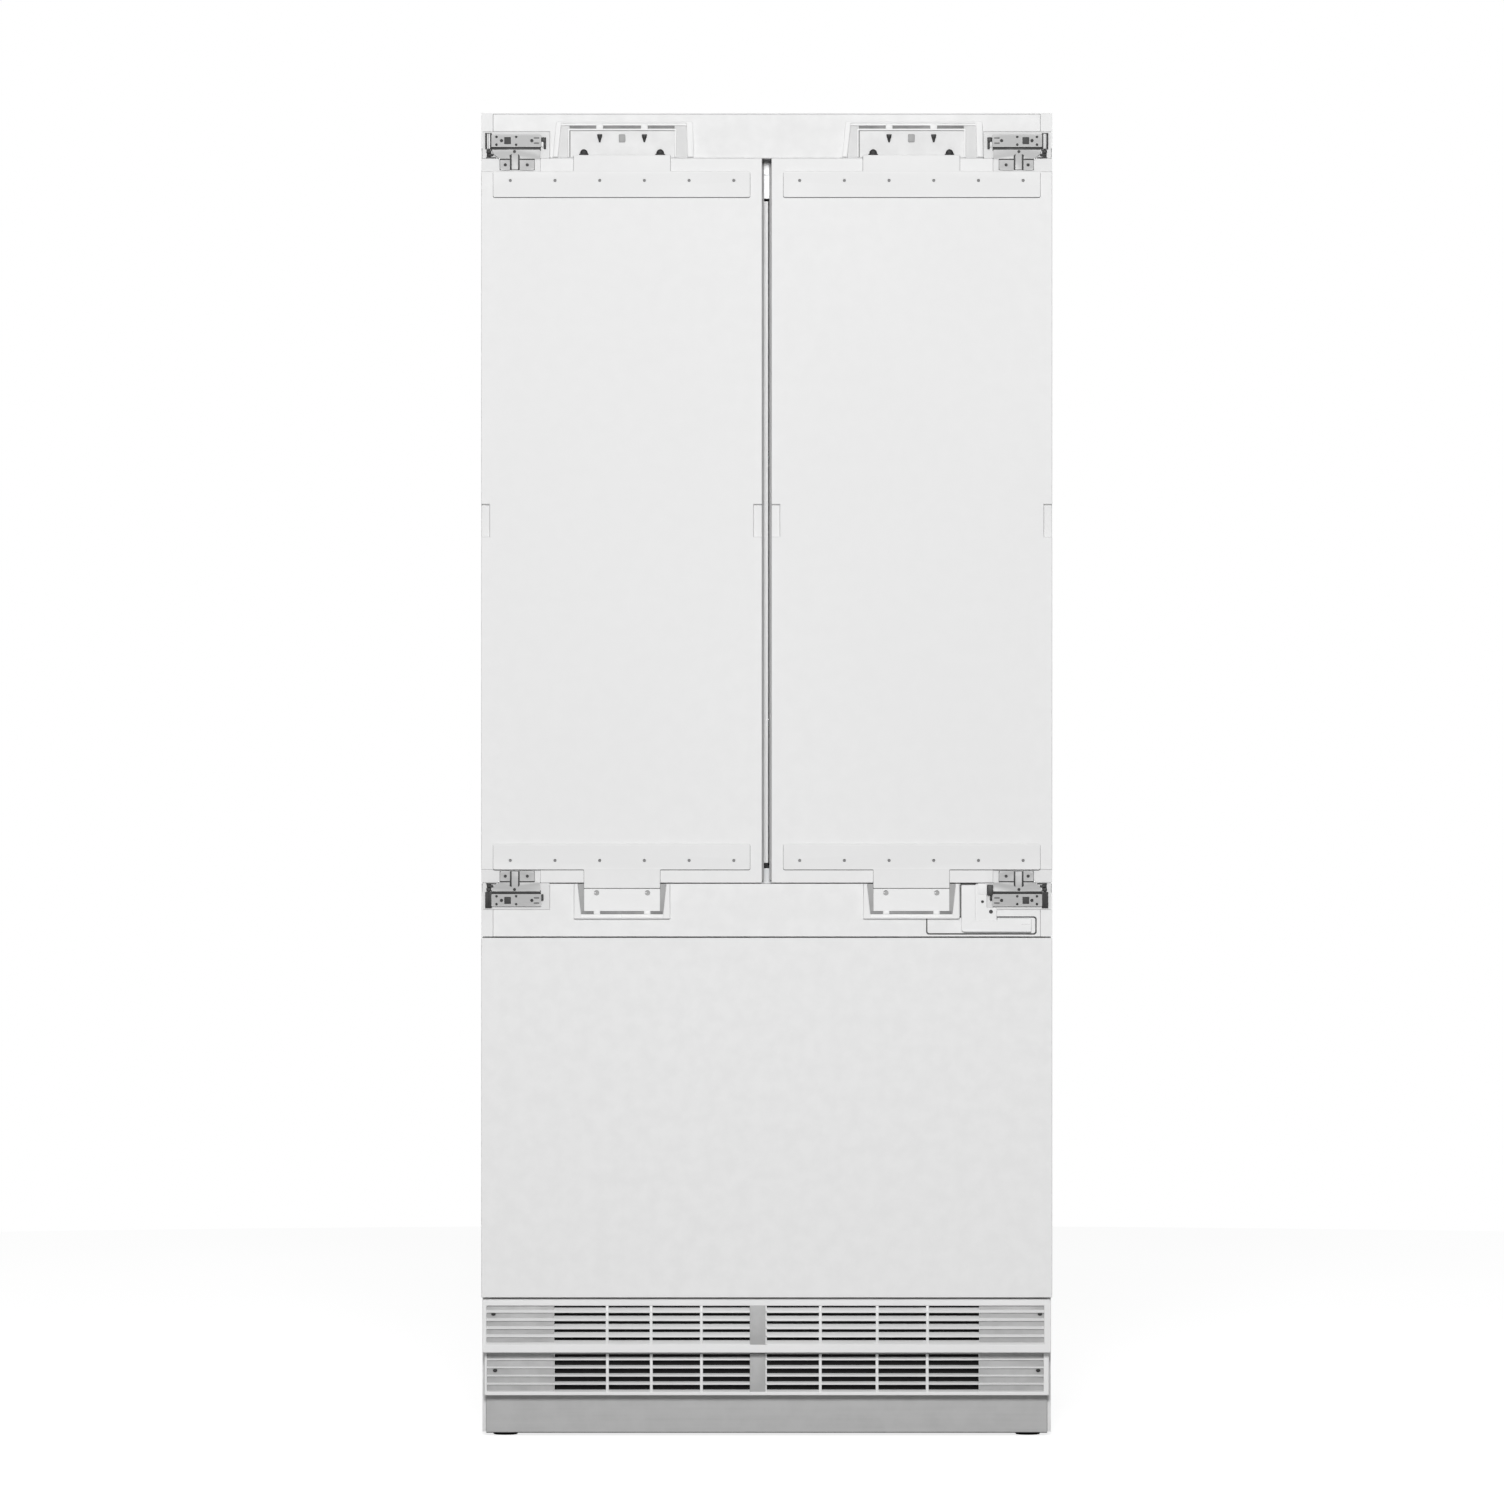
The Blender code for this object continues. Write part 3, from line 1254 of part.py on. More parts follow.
def make_evaporator():
    bay_half = LINER_IN - COVER_SIDE_GAP
    cover = solid(
        "evaporator_cover",
        "liner_plastic",
        box(
            (-bay_half, bay_half),
            (COVER_FACE, LINER_BACK - LINER - CLEAR),
            (FREEZER_FLOOR + CLEAR, FREEZER_ROOF - CLEAR),
        ),
    )
    wall = TUB_WALL
    cut(
        cover,
        box(
            (-bay_half + wall, bay_half - wall),
            (COVER_FACE + wall, BACK),
            (FREEZER_FLOOR + CLEAR + wall, FREEZER_ROOF - CLEAR - wall),
        ),
    )
    fan_z = FREEZER_ROOF - FAN_RADIUS - EVAPORATOR_FAN_DROP
    cut(cover, rod("y", (0, fan_z), (FRONT, COVER_FACE + wall + BEYOND), FAN_RADIUS + FAN_CLEAR, LARGE_ROUND))
    make_fan("evaporator_fan", (0, fan_z), tuple(COVER_FACE + step for step in EVAPORATOR_FAN_SPAN))
    make_fin_block(
        "evaporator",
        (-bay_half + EVAPORATOR_SIDE, bay_half - EVAPORATOR_SIDE),
        (COVER_FACE + EVAPORATOR_SETBACK, LINER_BACK - LINER - CLEAR - EVAPORATOR_BACK_GAP),
        (FREEZER_FLOOR + EVAPORATOR_RISE, fan_z - FAN_RADIUS - EVAPORATOR_FAN_DROP),
        EVAPORATOR_SLOTS,
    )


# Machine compartment


def make_grille(name, inset, setback, low, high, opening):
    """A louvred front: a tray with rows of slots between its ribs."""
    half = HALF - inset
    face = DOOR_FACE + setback
    back = CABINET_FACE - 2 * CLEAR
    grille = solid(name, "grille_plastic", box((-half, half), (face, back), (low, high)))
    wall = GRILLE_WALL
    field = face + GRILLE_FIELD_SETBACK
    side = half - GRILLE_FRAME_SIDE
    cut(grille, box((-half + wall, half - wall), (field + GRILLE_SKIN, BACK), (low + wall, high - wall)))
    # The louvred field is set back a little behind the edges.
    cut(grille, box((-side, side), (FRONT, field), opening))
    edges = [-VENT_HALF_WIDTH]
    for rib in sorted((*RIB_PLACES, sum(CENTRE_BLOCK) / 2)):
        width = CENTRE_BLOCK[1] - CENTRE_BLOCK[0] if CENTRE_BLOCK[0] < rib < CENTRE_BLOCK[1] else RIB_WIDTH
        edges += [rib - width / 2, rib + width / 2]
    edges.append(VENT_HALF_WIDTH)
    slack = (opening[1] - opening[0]) - SLOT_ROWS * SLOT_PITCH
    first = opening[0] + slack / 2 + (SLOT_PITCH - SLOT_HEIGHT) / 2
    slots = [
        box((start, end), (FRONT, face + GRILLE_SKIN + BEYOND), (level, level + SLOT_HEIGHT))
        for start, end in zip(edges[::2], edges[1::2])
        for level in (first + row * SLOT_PITCH for row in range(SLOT_ROWS))
    ]
    cut(grille, *slots)
    return grille


def make_fronts():
    make_grille(
        "upper_grille",
        GRILLE_INSET,
        UPPER_GRILLE_SETBACK,
        UPPER_GRILLE_BOTTOM,
        UPPER_GRILLE_TOP,
        (UPPER_GRILLE_BOTTOM + UPPER_GRILLE_FRAME[0], UPPER_GRILLE_TOP - UPPER_GRILLE_FRAME[1]),
    )
    make_grille(
        "lower_grille",
        LOWER_GRILLE_INSET,
        LOWER_GRILLE_SETBACK,
        LOWER_GRILLE_BOTTOM,
        LOWER_GRILLE_TOP,
        (LOWER_GRILLE_BOTTOM + LOWER_GRILLE_FRAME[0], LOWER_GRILLE_TOP - LOWER_GRILLE_FRAME[1]),
    )
    half = HALF - KICK_INSET
    face = DOOR_FACE + KICK_SETBACK
    kick = solid(
        "kick_plate",
        "kick_steel",
        box((-half, half), (face, CABINET_FACE - 2 * CLEAR), (TOE_GAP, KICK_TOP)),
    )
    cut(
        kick,
        box((-half + SHEET, half - SHEET), (face + SHEET, BACK), (TOE_GAP - BEYOND, KICK_TOP - SHEET)),
    )


def make_base():
    """The base pan with its side walls, fan plate, drip tray, compressor seat and axle brackets."""
    half = SKIN_HALF
    top = CASE_FLOOR - SHEET - CLEAR
    pan = solid(
        "base_pan",
        "galvanised",
        box((-half, half), (CABINET_FACE, BACK - SHEET), (PAN_RISE, top)),
    )
    wall = PAN_SHEET
    cut(
        pan,
        box((-half + wall, half - wall), (FRONT, BACK + BEYOND), (PAN_RISE + wall, top + BEYOND)),
    )
    low = PAN_RISE + wall / 2
    tray = box(DRIP_TRAY_X, DRIP_TRAY_Y, (low, PAN_RISE + DRIP_TRAY_HEIGHT))
    thick = FAN_PLATE_THICKNESS / 2
    plate = box(FAN_PLATE_X, (FAN_Y - thick, FAN_Y + thick), (low, top - FAN_PLATE_DROP))
    seat = rod("z", COMPRESSOR_PLACE, (low, SEAT_TOP), COMPRESSOR_SEAT_RADIUS, MEDIUM_ROUND)
    bracket_out = ROLLER_X - ROLLER_INNER - BRACKET_GAP
    brackets = [
        box(
            sided(side, bracket_out - AXLE_BRACKET, bracket_out),
            (AXLE_Y - AXLE_BRACKET_DEPTH / 2, AXLE_Y + AXLE_BRACKET_DEPTH / 2),
            (ROLLER_RADIUS - AXLE_BRACKET_DROP, low),
        )
        for side in (-1, 1)
    ]
    join(pan, tray, plate, seat, *brackets)
    basin = [
        (span[0] + DRIP_TRAY_WALL, span[1] - DRIP_TRAY_WALL)
        for span in (DRIP_TRAY_X, DRIP_TRAY_Y)
    ]
    cut(pan, box(*basin, (PAN_RISE + wall, PAN_RISE + DRIP_TRAY_HEIGHT + BEYOND)))
    through = (FAN_Y - BEYOND, FAN_Y + BEYOND)
    cut(pan, rod("y", MACHINE_FAN, through, FAN_RADIUS + FAN_CLEAR, LARGE_ROUND))
    reach = ROLLER_RADIUS + ROLLER_CLEAR
    wells = [
        box(
            sided(side, ROLLER_X - ROLLER_INNER - ROLLER_CLEAR, ROLLER_X + ROLLER_WIDTH),
            (AXLE_Y - reach, AXLE_Y + reach),
            (0, PAN_RISE + wall + OVERLAP),
        )
        for side in (-1, 1)
    ]
    cut(pan, *wells)
    stems = [
        rod("z", (side * FOOT_X, FOOT_Y), (0, PAN_RISE + BEYOND), STEM_RADIUS + PIN_CLEAR)
        for side in (-1, 1)
    ]
    cut(pan, *stems)
    eyes = rod("x", (AXLE_Y, ROLLER_RADIUS), (-HALF, HALF), AXLE_RADIUS + PIN_CLEAR)
    cut(pan, eyes)
    return pan


def turned_profile(name, look, points, place, steps):
    """A solid of revolution about a vertical line. points run down its outer side."""
    mesh = bpy.data.meshes.new(name)
    edges = [(i, i + 1) for i in range(len(points) - 1)]
    mesh.from_pydata([(radius, 0, height) for radius, height in points], edges, [])
    obj = bpy.data.objects.new(name, mesh)
    PARTS.objects.link(obj)
    obj.location = place
    obj.data.materials.append(make_material(name, look))
    screw = obj.modifiers.new("turn", "SCREW")
    screw.steps = steps
    screw.render_steps = steps
    screw.use_merge_vertices = True
    screw.merge_threshold = 0.00005
    screw.use_smooth_shade = True
    return obj


def make_feet():
    for side in (-1, 1):
        points = (
            (0, STEM_TOP),
            (STEM_RADIUS, STEM_TOP),
            (STEM_RADIUS, FOOT_PAD_HEIGHT),
            (FOOT_RADIUS / 2, FOOT_PAD_HEIGHT - OVERLAP),
            (FOOT_RADIUS * 0.85, FOOT_PAD_HEIGHT * 0.6),
            (FOOT_RADIUS, FOOT_PAD_HEIGHT * 0.3),
            (FOOT_RADIUS * 0.93, 0),
            (0, 0),
        )
        name = f"foot_{name_of(side)}"
        turned_profile(name, "black_rubber", points, (side * FOOT_X, FOOT_Y, 0), MEDIUM_ROUND)


def make_rollers():
    """Two rear wheels on one axle."""
    ends = ROLLER_X + AXLE_END
    line = (AXLE_Y, ROLLER_RADIUS)
    axle = solid("rear_rollers", "black_plastic", rod("x", line, (-ends, ends), AXLE_RADIUS))
    for side in (-1, 1):
        wheel = sided(side, ROLLER_X - ROLLER_INNER, ROLLER_X - ROLLER_INNER + ROLLER_WIDTH)
        join(axle, rod("x", line, wheel, ROLLER_RADIUS, WHEEL_ROUND))
    carrier("rollers_axis", (0, AXLE_Y, ROLLER_RADIUS), axle)


def make_compressor():
    """A domed steel pot on the base pan's seat."""
    radius = COMPRESSOR_RADIUS
    height = COMPRESSOR_HEIGHT
    dome = [
        (radius * math.cos(angle), height - COMPRESSOR_DOME * (1 - math.sin(angle)))
        for angle in (math.radians(90 - 18 * i) for i in range(6))
    ]
    dome[0] = (0, height)
    # Below its skirt the pot narrows to its foot.
    foot = ((radius, COMPRESSOR_SKIRT), (radius * 0.85, COMPRESSOR_SKIRT / 5), (radius * 0.7, 0), (0, 0))
    place = (*COMPRESSOR_PLACE, SEAT_TOP + CLEAR)
    turned_profile("compressor", "compressor_black", (*dome, *foot), place, LARGE_ROUND)


def make_machine_bay():
    make_base()
    make_compressor()
    make_fin_block(
        "condenser",
        CONDENSER_X,
        (CABINET_FACE + CONDENSER_SETBACK, CABINET_FACE + CONDENSER_SETBACK + CONDENSER_DEPTH),
        (PAN_RISE + PAN_SHEET + CLEAR, CASE_FLOOR - SHEET - CONDENSER_DROP),
        CONDENSER_SLOTS,
    )
    fan_y = (FAN_Y - MACHINE_FAN_DEPTH / 2, FAN_Y + MACHINE_FAN_DEPTH / 2)
    make_fan("condenser_fan", MACHINE_FAN, fan_y)
    make_feet()
    make_rollers()


make_cabinet()
make_fridge_inside()
make_crispers()
make_liner(
    "freezer_liner",
    FREEZER_FLOOR,
    FREEZER_ROOF,
    (CASE_FLOOR + CLEAR, DIVIDE - CLEAR),
)
make_rail("top_rail", TOP_RAIL_BOTTOM, HEIGHT - SHEET - CLEAR)
make_rail("mid_rail", MID_RAIL_BOTTOM, MID_RAIL_TOP)
for hand in (-1, 1):
    make_top_frame(hand)
    make_bottom_frame(hand)
    make_fixed_hinge(hand, 1, DOOR_TOP)
    make_fixed_hinge(hand, -1, DOOR_BOTTOM)
    make_door(hand)
make_slides()
make_drawer()
make_evaporator()
make_fronts()
make_machine_bay()
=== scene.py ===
# %% [markdown]
# # A panel-ready French door refrigerator
#
# This lesson dresses a finished CAD model of a built-in refrigerator. The model arrives as a fixed
# frame: sixty plain solids, each riding on the body that moves it. Nothing here moves or resizes
# them. A solid whose shape is right keeps its mesh and gets rounded edges and a real finish. A solid
# that is too plain is hidden, and a finer piece, worked out with numpy, takes its place.

# %% Load the frame
import math

import bpy
import numpy as np
from mathutils.geometry import tessellate_polygon
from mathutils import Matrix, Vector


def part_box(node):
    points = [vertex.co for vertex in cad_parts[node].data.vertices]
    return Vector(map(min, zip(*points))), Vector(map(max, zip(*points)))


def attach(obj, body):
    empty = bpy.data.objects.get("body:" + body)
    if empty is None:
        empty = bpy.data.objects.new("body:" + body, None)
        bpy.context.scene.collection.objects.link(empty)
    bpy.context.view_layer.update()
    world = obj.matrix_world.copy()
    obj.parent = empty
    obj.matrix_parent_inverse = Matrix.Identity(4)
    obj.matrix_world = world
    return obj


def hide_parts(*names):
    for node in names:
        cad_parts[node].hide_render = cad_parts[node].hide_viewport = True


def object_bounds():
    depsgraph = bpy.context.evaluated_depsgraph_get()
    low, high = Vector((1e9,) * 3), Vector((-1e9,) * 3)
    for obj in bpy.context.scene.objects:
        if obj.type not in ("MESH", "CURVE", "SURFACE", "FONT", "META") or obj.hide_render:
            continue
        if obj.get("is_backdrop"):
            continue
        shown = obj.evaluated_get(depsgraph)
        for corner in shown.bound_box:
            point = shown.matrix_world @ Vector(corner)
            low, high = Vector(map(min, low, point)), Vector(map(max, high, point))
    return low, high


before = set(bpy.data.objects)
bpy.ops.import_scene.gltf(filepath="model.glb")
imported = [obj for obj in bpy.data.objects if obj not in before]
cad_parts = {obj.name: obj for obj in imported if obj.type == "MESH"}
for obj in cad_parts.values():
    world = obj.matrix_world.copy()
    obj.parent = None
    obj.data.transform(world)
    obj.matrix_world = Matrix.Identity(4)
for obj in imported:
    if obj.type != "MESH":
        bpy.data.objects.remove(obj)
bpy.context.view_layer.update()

# %% [markdown]
# ## A few planes of the cabinet
#
# Every size below is read from the frame, so a piece lands where the CAD says. The front of the
# refrigerator faces -Y, X runs to the right and Z up.

# %% Read the planes that the pieces share


def span(node, axis):
    """The lowest and highest value of a CAD node along one axis."""
    low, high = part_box(node)
    return low["xyz".index(axis)], high["xyz".index(axis)]


DOOR_FACE = span("left_door_panel", "y")[0]
DOOR_BOTTOM, DOOR_TOP = span("left_door_panel", "z")
DRAWER_BOTTOM = span("drawer_panel", "z")[0]
RAIL_FACE = span("mid_rail", "y")[0]
TOP_RAIL_BOTTOM = span("top_rail", "z")[0]
HINGE_FACE = span("hinge_top_left", "y")[0]
CABINET_FACE = span("fridge_liner", "y")[0]
print("doors from", round(DOOR_BOTTOM, 4), "to", round(DOOR_TOP, 4), "m")

# %% [markdown]
# ## Shapes as arrays
#
# A shape here is a pair: an array of points and an array of four-cornered faces. Most shapes are a
# grid of points, a function of two parameters, so the whole surface is one numpy formula. Working on
# arrays is fast, and it keeps each formula in one place where it can be read.
#
# A grid that closes on itself has equal points along its seam, and its poles are many equal points.
# `weld` makes each set of equal points one, so that the surface is truly closed.

# %% Helpers that turn grids into closed shapes


def grid_faces(rows, columns):
    """The faces between neighbours of a grid of points, numbered row by row. Each row closes on itself."""
    r = np.arange(rows - 1)[:, None]
    c = np.arange(columns)[None, :]
    after_c = (c + 1) % columns
    corners = (r * columns + c, (r + 1) * columns + c, (r + 1) * columns + after_c, r * columns + after_c)
    return np.stack(np.broadcast_arrays(*corners), axis=-1).reshape(-1, 4)


def weld(points, faces):
    """Makes equal points one. A face is cut in two triangles, and one with no area left is dropped."""
    keys = np.round(np.asarray(points, float).reshape(-1, 3), 7)
    unique, number = np.unique(keys, axis=0, return_inverse=True)
    quads = number.reshape(-1)[faces]
    triangles = np.concatenate([quads[:, [0, 1, 2]], quads[:, [0, 2, 3]]])
    a, b, c = triangles.T
    return unique, triangles[(a != b) & (b != c) & (a != c)]


def outward(points, triangles):
    """Turns a closed shape's faces out. Then its volume, a sixth of the sum of a . (b x c), is positive."""
    a, b, c = (points[triangles[:, i]] for i in range(3))
    volume = np.einsum("ij,ij->i", a, np.cross(b, c)).sum()
    return points, triangles if volume > 0 else triangles[:, ::-1]


def closed(points, faces):
    return outward(*weld(points, faces))


def gather(shapes):
    """One shape from several: their points are stacked, and each one's face numbers move up."""
    starts = np.cumsum([0] + [len(points) for points, _ in shapes[:-1]])
    points = np.concatenate([points for points, _ in shapes])
    triangles = np.concatenate([triangles + start for (_, triangles), start in zip(shapes, starts)])
    return points, triangles


def placed(shape, matrix=None, move=(0, 0, 0)):
    """The shape after a 3 x 3 matrix and a shift, with its faces still out."""
    points, triangles = shape
    turned_points = points if matrix is None else points @ np.asarray(matrix, float).T
    return outward(turned_points + np.asarray(move, float), triangles)


def flipped(shape, side=1, up=1, edge=0.0):
    """A shape drawn for the right and the top, put on a side (-1 is left) and above or below an edge."""
    return placed(shape, np.diag([side, 1, up]), (0, 0, edge))


print("a grid of 3 rows and 8 columns has", len(grid_faces(3, 8)), "faces")

# %% [markdown]
# ## Three ways to make a solid
#
# - `block`: a box whose edges are round. Each point of a ball's grid is pushed out to the box's
#   corner of the same octant, so eight eighths of a ball sit at the corners with flats between them.
# - `spun`: a profile of radius against height, turned round a line.
# - `plate`: a flat outline with holes and a thickness, with its edges rounded by a quarter circle.

# %% Solid makers


def block(low, high, radius=0.001, steps=2):
    """A box with round edges: centre + sign(d) * (half size - radius) + radius * d, over directions d."""
    low, high = np.minimum(low, high), np.maximum(low, high)
    radius = min(radius, 0.499 * float((high - low).min()))
    quarter = np.linspace(0, np.pi / 2, steps + 1)
    around = np.concatenate([quarter + k * np.pi / 2 for k in range(4)])
    octant = np.repeat(np.arange(4), steps + 1)
    sign_x, sign_y = np.array([1, -1, -1, 1])[octant], np.array([1, 1, -1, -1])[octant]
    rise = np.concatenate([quarter - np.pi / 2, quarter])
    sign_z = np.repeat([-1, 1], steps + 1)
    d = np.stack(
        [
            np.cos(rise)[:, None] * np.cos(around),
            np.cos(rise)[:, None] * np.sin(around),
            np.sin(rise)[:, None] * np.ones_like(around),
        ],
        axis=-1,
    )
    signs = np.stack(np.broadcast_arrays(sign_x[None, :], sign_y[None, :], sign_z[:, None]), axis=-1)
    reach = (high - low) / 2 - radius
    grid = (low + high) / 2 + signs * reach + radius * d
    rows, columns = d.shape[:2]
    middle = (low + high) / 2 * [1, 1, 0]
    caps = [np.broadcast_to(middle + [0, 0, z], (1, columns, 3)) for z in (low[2], high[2])]
    points = np.concatenate([caps[0], grid, caps[1]])
    return closed(points.reshape(-1, 3), grid_faces(rows + 2, columns))


AXIS_TURNS = {"y": ((1, 0, 0), (0, 0, 1), (0, 1, 0)), "z": np.eye(3)}


def spun(profile, centre, axis="z", steps=24):
    """A turned solid: (r cos t, r sin t, h) for each (r, h) of the profile. Its ends lie on the line."""
    radius, height = np.asarray(profile, float).T
    angle = np.linspace(0, 2 * np.pi, steps, endpoint=False)
    ring = np.stack([np.cos(angle), np.sin(angle), np.zeros(steps)], axis=-1)
    grid = radius[:, None, None] * ring + height[:, None, None] * np.array([0, 0, 1.0])
    shape = closed(grid.reshape(-1, 3), grid_faces(len(radius), steps))
    return placed(shape, AXIS_TURNS[axis], centre)


def round_section(radius, sides=10):
    angle = np.linspace(0, 2 * np.pi, sides, endpoint=False)
    return radius * np.stack([np.cos(angle), np.sin(angle)], axis=-1)


def inset(loop, distance):
    """Moves each corner left of the way round, by distance * (n1 + n2) / (1 + n1 . n2)."""
    edge = np.roll(loop, -1, 0) - loop
    normal = np.stack([-edge[:, 1], edge[:, 0]], axis=-1) / np.linalg.norm(edge, axis=1, keepdims=True)
    before = np.roll(normal, 1, 0)
    return loop + distance * (before + normal) / (1 + np.sum(before * normal, 1, keepdims=True))


def anticlockwise(loop, wanted=True):
    loop = np.asarray(loop, float)
    after = np.roll(loop, -1, 0)
    area = np.sum(loop[:, 0] * after[:, 1] - after[:, 0] * loop[:, 1])
    return loop if (area > 0) == wanted else loop[::-1]


PLATE_AXES = {"x": (1, 2, 0), "y": (0, 2, 1)}


def plate(outline, low, high, axis="y", holes=(), edge=0.0004, edge_steps=2):
    """A flat solid between two planes. At angle t its edge is e (1 - cos t) in and e (1 - sin t) down."""
    loops = [anticlockwise(outline)] + [anticlockwise(hole, False) for hole in holes]
    edge = min(edge, 0.45 * abs(high - low))
    turn = np.linspace(0, np.pi / 2, edge_steps + 1)
    steps_in, steps_down = edge * (1 - np.cos(turn)), edge * (1 - np.sin(turn))
    front = [(i, low + d) for i, d in zip(steps_in, steps_down)]
    back = [(i, high - d) for i, d in zip(steps_in[::-1], steps_down[::-1])]
    rings = back + front
    u, v, w = PLATE_AXES[axis]
    shapes, start, caps = [], 0, ([], [])
    for loop in loops:
        grid = np.empty((len(rings), len(loop), 3))
        for row, (distance, level) in enumerate(rings):
            moved = inset(loop, distance)
            grid[row, :, u], grid[row, :, v], grid[row, :, w] = moved[:, 0], moved[:, 1], level
        shapes.append((grid, grid_faces(len(rings), len(loop)) + start))
        caps[0].append(grid[0])
        caps[1].append(grid[-1])
        start += grid.shape[0] * grid.shape[1]
    points = [grid.reshape(-1, 3) for grid, _ in shapes]
    faces = [numbers for _, numbers in shapes]
    for which, cap in enumerate(caps):
        flat = [[(p[u], p[v], 0.0) for p in loop] for loop in cap]
        thirds = np.array(tessellate_polygon(flat))
        corners = np.concatenate(cap)
        a, b, c = (corners[thirds[:, i]] for i in range(3))
        turned_up = np.cross((b - a)[:, [u, v]], (c - a)[:, [u, v]]) > 0
        same_way = turned_up if which else ~turned_up
        thirds = np.where(same_way[:, None], thirds, thirds[:, ::-1])
        faces.append(np.concatenate([thirds, thirds[:, 2:]], axis=1) + start)
        points.append(corners)
        start += len(corners)
    return closed(np.concatenate(points), np.concatenate(faces))


def rectangle(x_low, x_high, z_low, z_high, radius=0.001, steps=4):
    """A rectangle with quarter circles at its corners, anticlockwise."""
    corners = (
        (x_high, z_high, 1, 1), (x_low, z_high, -1, 1), (x_low, z_low, -1, -1), (x_high, z_low, 1, -1),
    )
    turn = np.linspace(0, np.pi / 2, steps + 1)
    arcs = []
    for k, (x, z, side_x, side_z) in enumerate(corners):
        angle = turn + k * np.pi / 2
        arc_x, arc_z = radius * np.cos(angle), radius * np.sin(angle)
        arcs.append(np.stack([x - side_x * radius + arc_x, z - side_z * radius + arc_z], axis=-1))
    loop = np.concatenate(arcs)
    apart = np.linalg.norm(loop - np.roll(loop, 1, 0), axis=1) > 1e-7
    return loop[apart]


def circle(x, z, radius, sides=16):
    return round_section(radius, sides) + np.array([x, z])


def pill(x, z, half_length, radius, sides=6):
    """A slot with round ends, lying along the first axis."""
    turn = np.linspace(-np.pi / 2, np.pi / 2, sides)
    right = np.stack([half_length - radius + radius * np.cos(turn), radius * np.sin(turn)], axis=-1)
    return np.concatenate([right, -right]) + np.array([x, z])


print("a block has", len(block((0, 0, 0), (1, 1, 1))[1]), "triangles")

# %% [markdown]
# ## From a shape to a piece
#
# `piece` puts a shape into a mesh in one call, gives it a finish, and says which CAD body it rides
# on and which CAD solids it stands for.

# %% The piece maker

LOOKS, SLOT_OF = {}, {}


def piece(name, shapes, look, body="root", stands_for=(), sharp=35):
    """A mesh object from shapes, at the origin, with its place in its points."""
    points, triangles = gather(shapes)
    mesh = bpy.data.meshes.new(name)
    mesh.vertices.add(len(points))
    mesh.vertices.foreach_set("co", points.astype(np.float32).ravel())
    mesh.loops.add(triangles.size)
    mesh.loops.foreach_set("vertex_index", triangles.astype(np.int32).ravel())
    mesh.polygons.add(len(triangles))
    mesh.polygons.foreach_set("loop_start", np.arange(0, triangles.size, 3, dtype=np.int32))
    mesh.update(calc_edges=True)
    mesh.polygons.foreach_set("use_smooth", np.ones(len(triangles), bool))
    mesh.set_sharp_from_angle(angle=math.radians(sharp))
    mesh.materials.append(LOOKS[look])
    made = bpy.data.objects.new(name, mesh)
    bpy.context.scene.collection.objects.link(made)
    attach(made, body)
    if stands_for:
        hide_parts(*stands_for)
    return made


print(len(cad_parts), "CAD solids to finish or to replace")

# %% [markdown]
# ## Effects that finishes share
#
# Real finishes are never one flat value. Four small node groups hold what the finishes have in
# common, so that each material only gives its own numbers:
#
# - `cloudy`: wide soft patches, for paint and plastic that vary a little from place to place;
# - `grain`: a fine even roughness of the surface, as moulds and powder paint leave;
# - `streaks`: noise squeezed in one direction, which is what rolling and brushing leave on metal;
# - an edge mask: bright on outer edges, from the mesh's own pointiness. The lighter colour it brings
#   to edges is partly wear and partly a painted highlight.
#
# Each group reads the piece's own Object coordinates. Groups put out values and heights only, and
# the shader stays in the material.

# %% Node groups


def new_group(name, inputs, outputs):
    """A shader node group with named float inputs, their defaults, and named outputs."""
    group = bpy.data.node_groups.new(name, "ShaderNodeTree")
    for label, default in inputs.items():
        socket = group.interface.new_socket(label, in_out="INPUT", socket_type="NodeSocketFloat")
        socket.default_value = default
    for label in outputs:
        group.interface.new_socket(label, in_out="OUTPUT", socket_type="NodeSocketFloat")
    return group, group.nodes.new("NodeGroupInput"), group.nodes.new("NodeGroupOutput")


def noise(tree, scale, detail, vector, roughness=0.5):
    node = tree.nodes.new("ShaderNodeTexNoise")
    node.inputs["Detail"].default_value = detail
    node.inputs["Roughness"].default_value = roughness
    if isinstance(scale, (int, float)):
        node.inputs["Scale"].default_value = scale
    else:
        tree.links.new(scale, node.inputs["Scale"])
    tree.links.new(vector, node.inputs["Vector"])
    return node.outputs["Fac"]


def remap(tree, value, from_low, from_high, to_low=0.0, to_high=1.0):
    node = tree.nodes.new("ShaderNodeMapRange")
    node.inputs["From Min"].default_value, node.inputs["From Max"].default_value = from_low, from_high
    node.inputs["To Min"].default_value, node.inputs["To Max"].default_value = to_low, to_high
    tree.links.new(value, node.inputs["Value"])
    return node.outputs["Result"]


def object_place(tree):
    return tree.nodes.new("ShaderNodeTexCoord").outputs["Object"]


def make_cloudy():
    group, given, out = new_group("cloudy", {"Scale": 3.0}, ["Value"])
    soft = noise(group, given.outputs["Scale"], 3.0, object_place(group), 0.45)
    group.links.new(remap(group, soft, 0.3, 0.7), out.inputs["Value"])
    return group


def make_grain():
    group, given, out = new_group("grain", {"Scale": 900.0}, ["Height", "Value"])
    place = object_place(group)
    group.links.new(noise(group, given.outputs["Scale"], 2.0, place, 0.6), out.inputs["Height"])
    group.links.new(remap(group, noise(group, 160.0, 2.0, place), 0.35, 0.65), out.inputs["Value"])
    return group


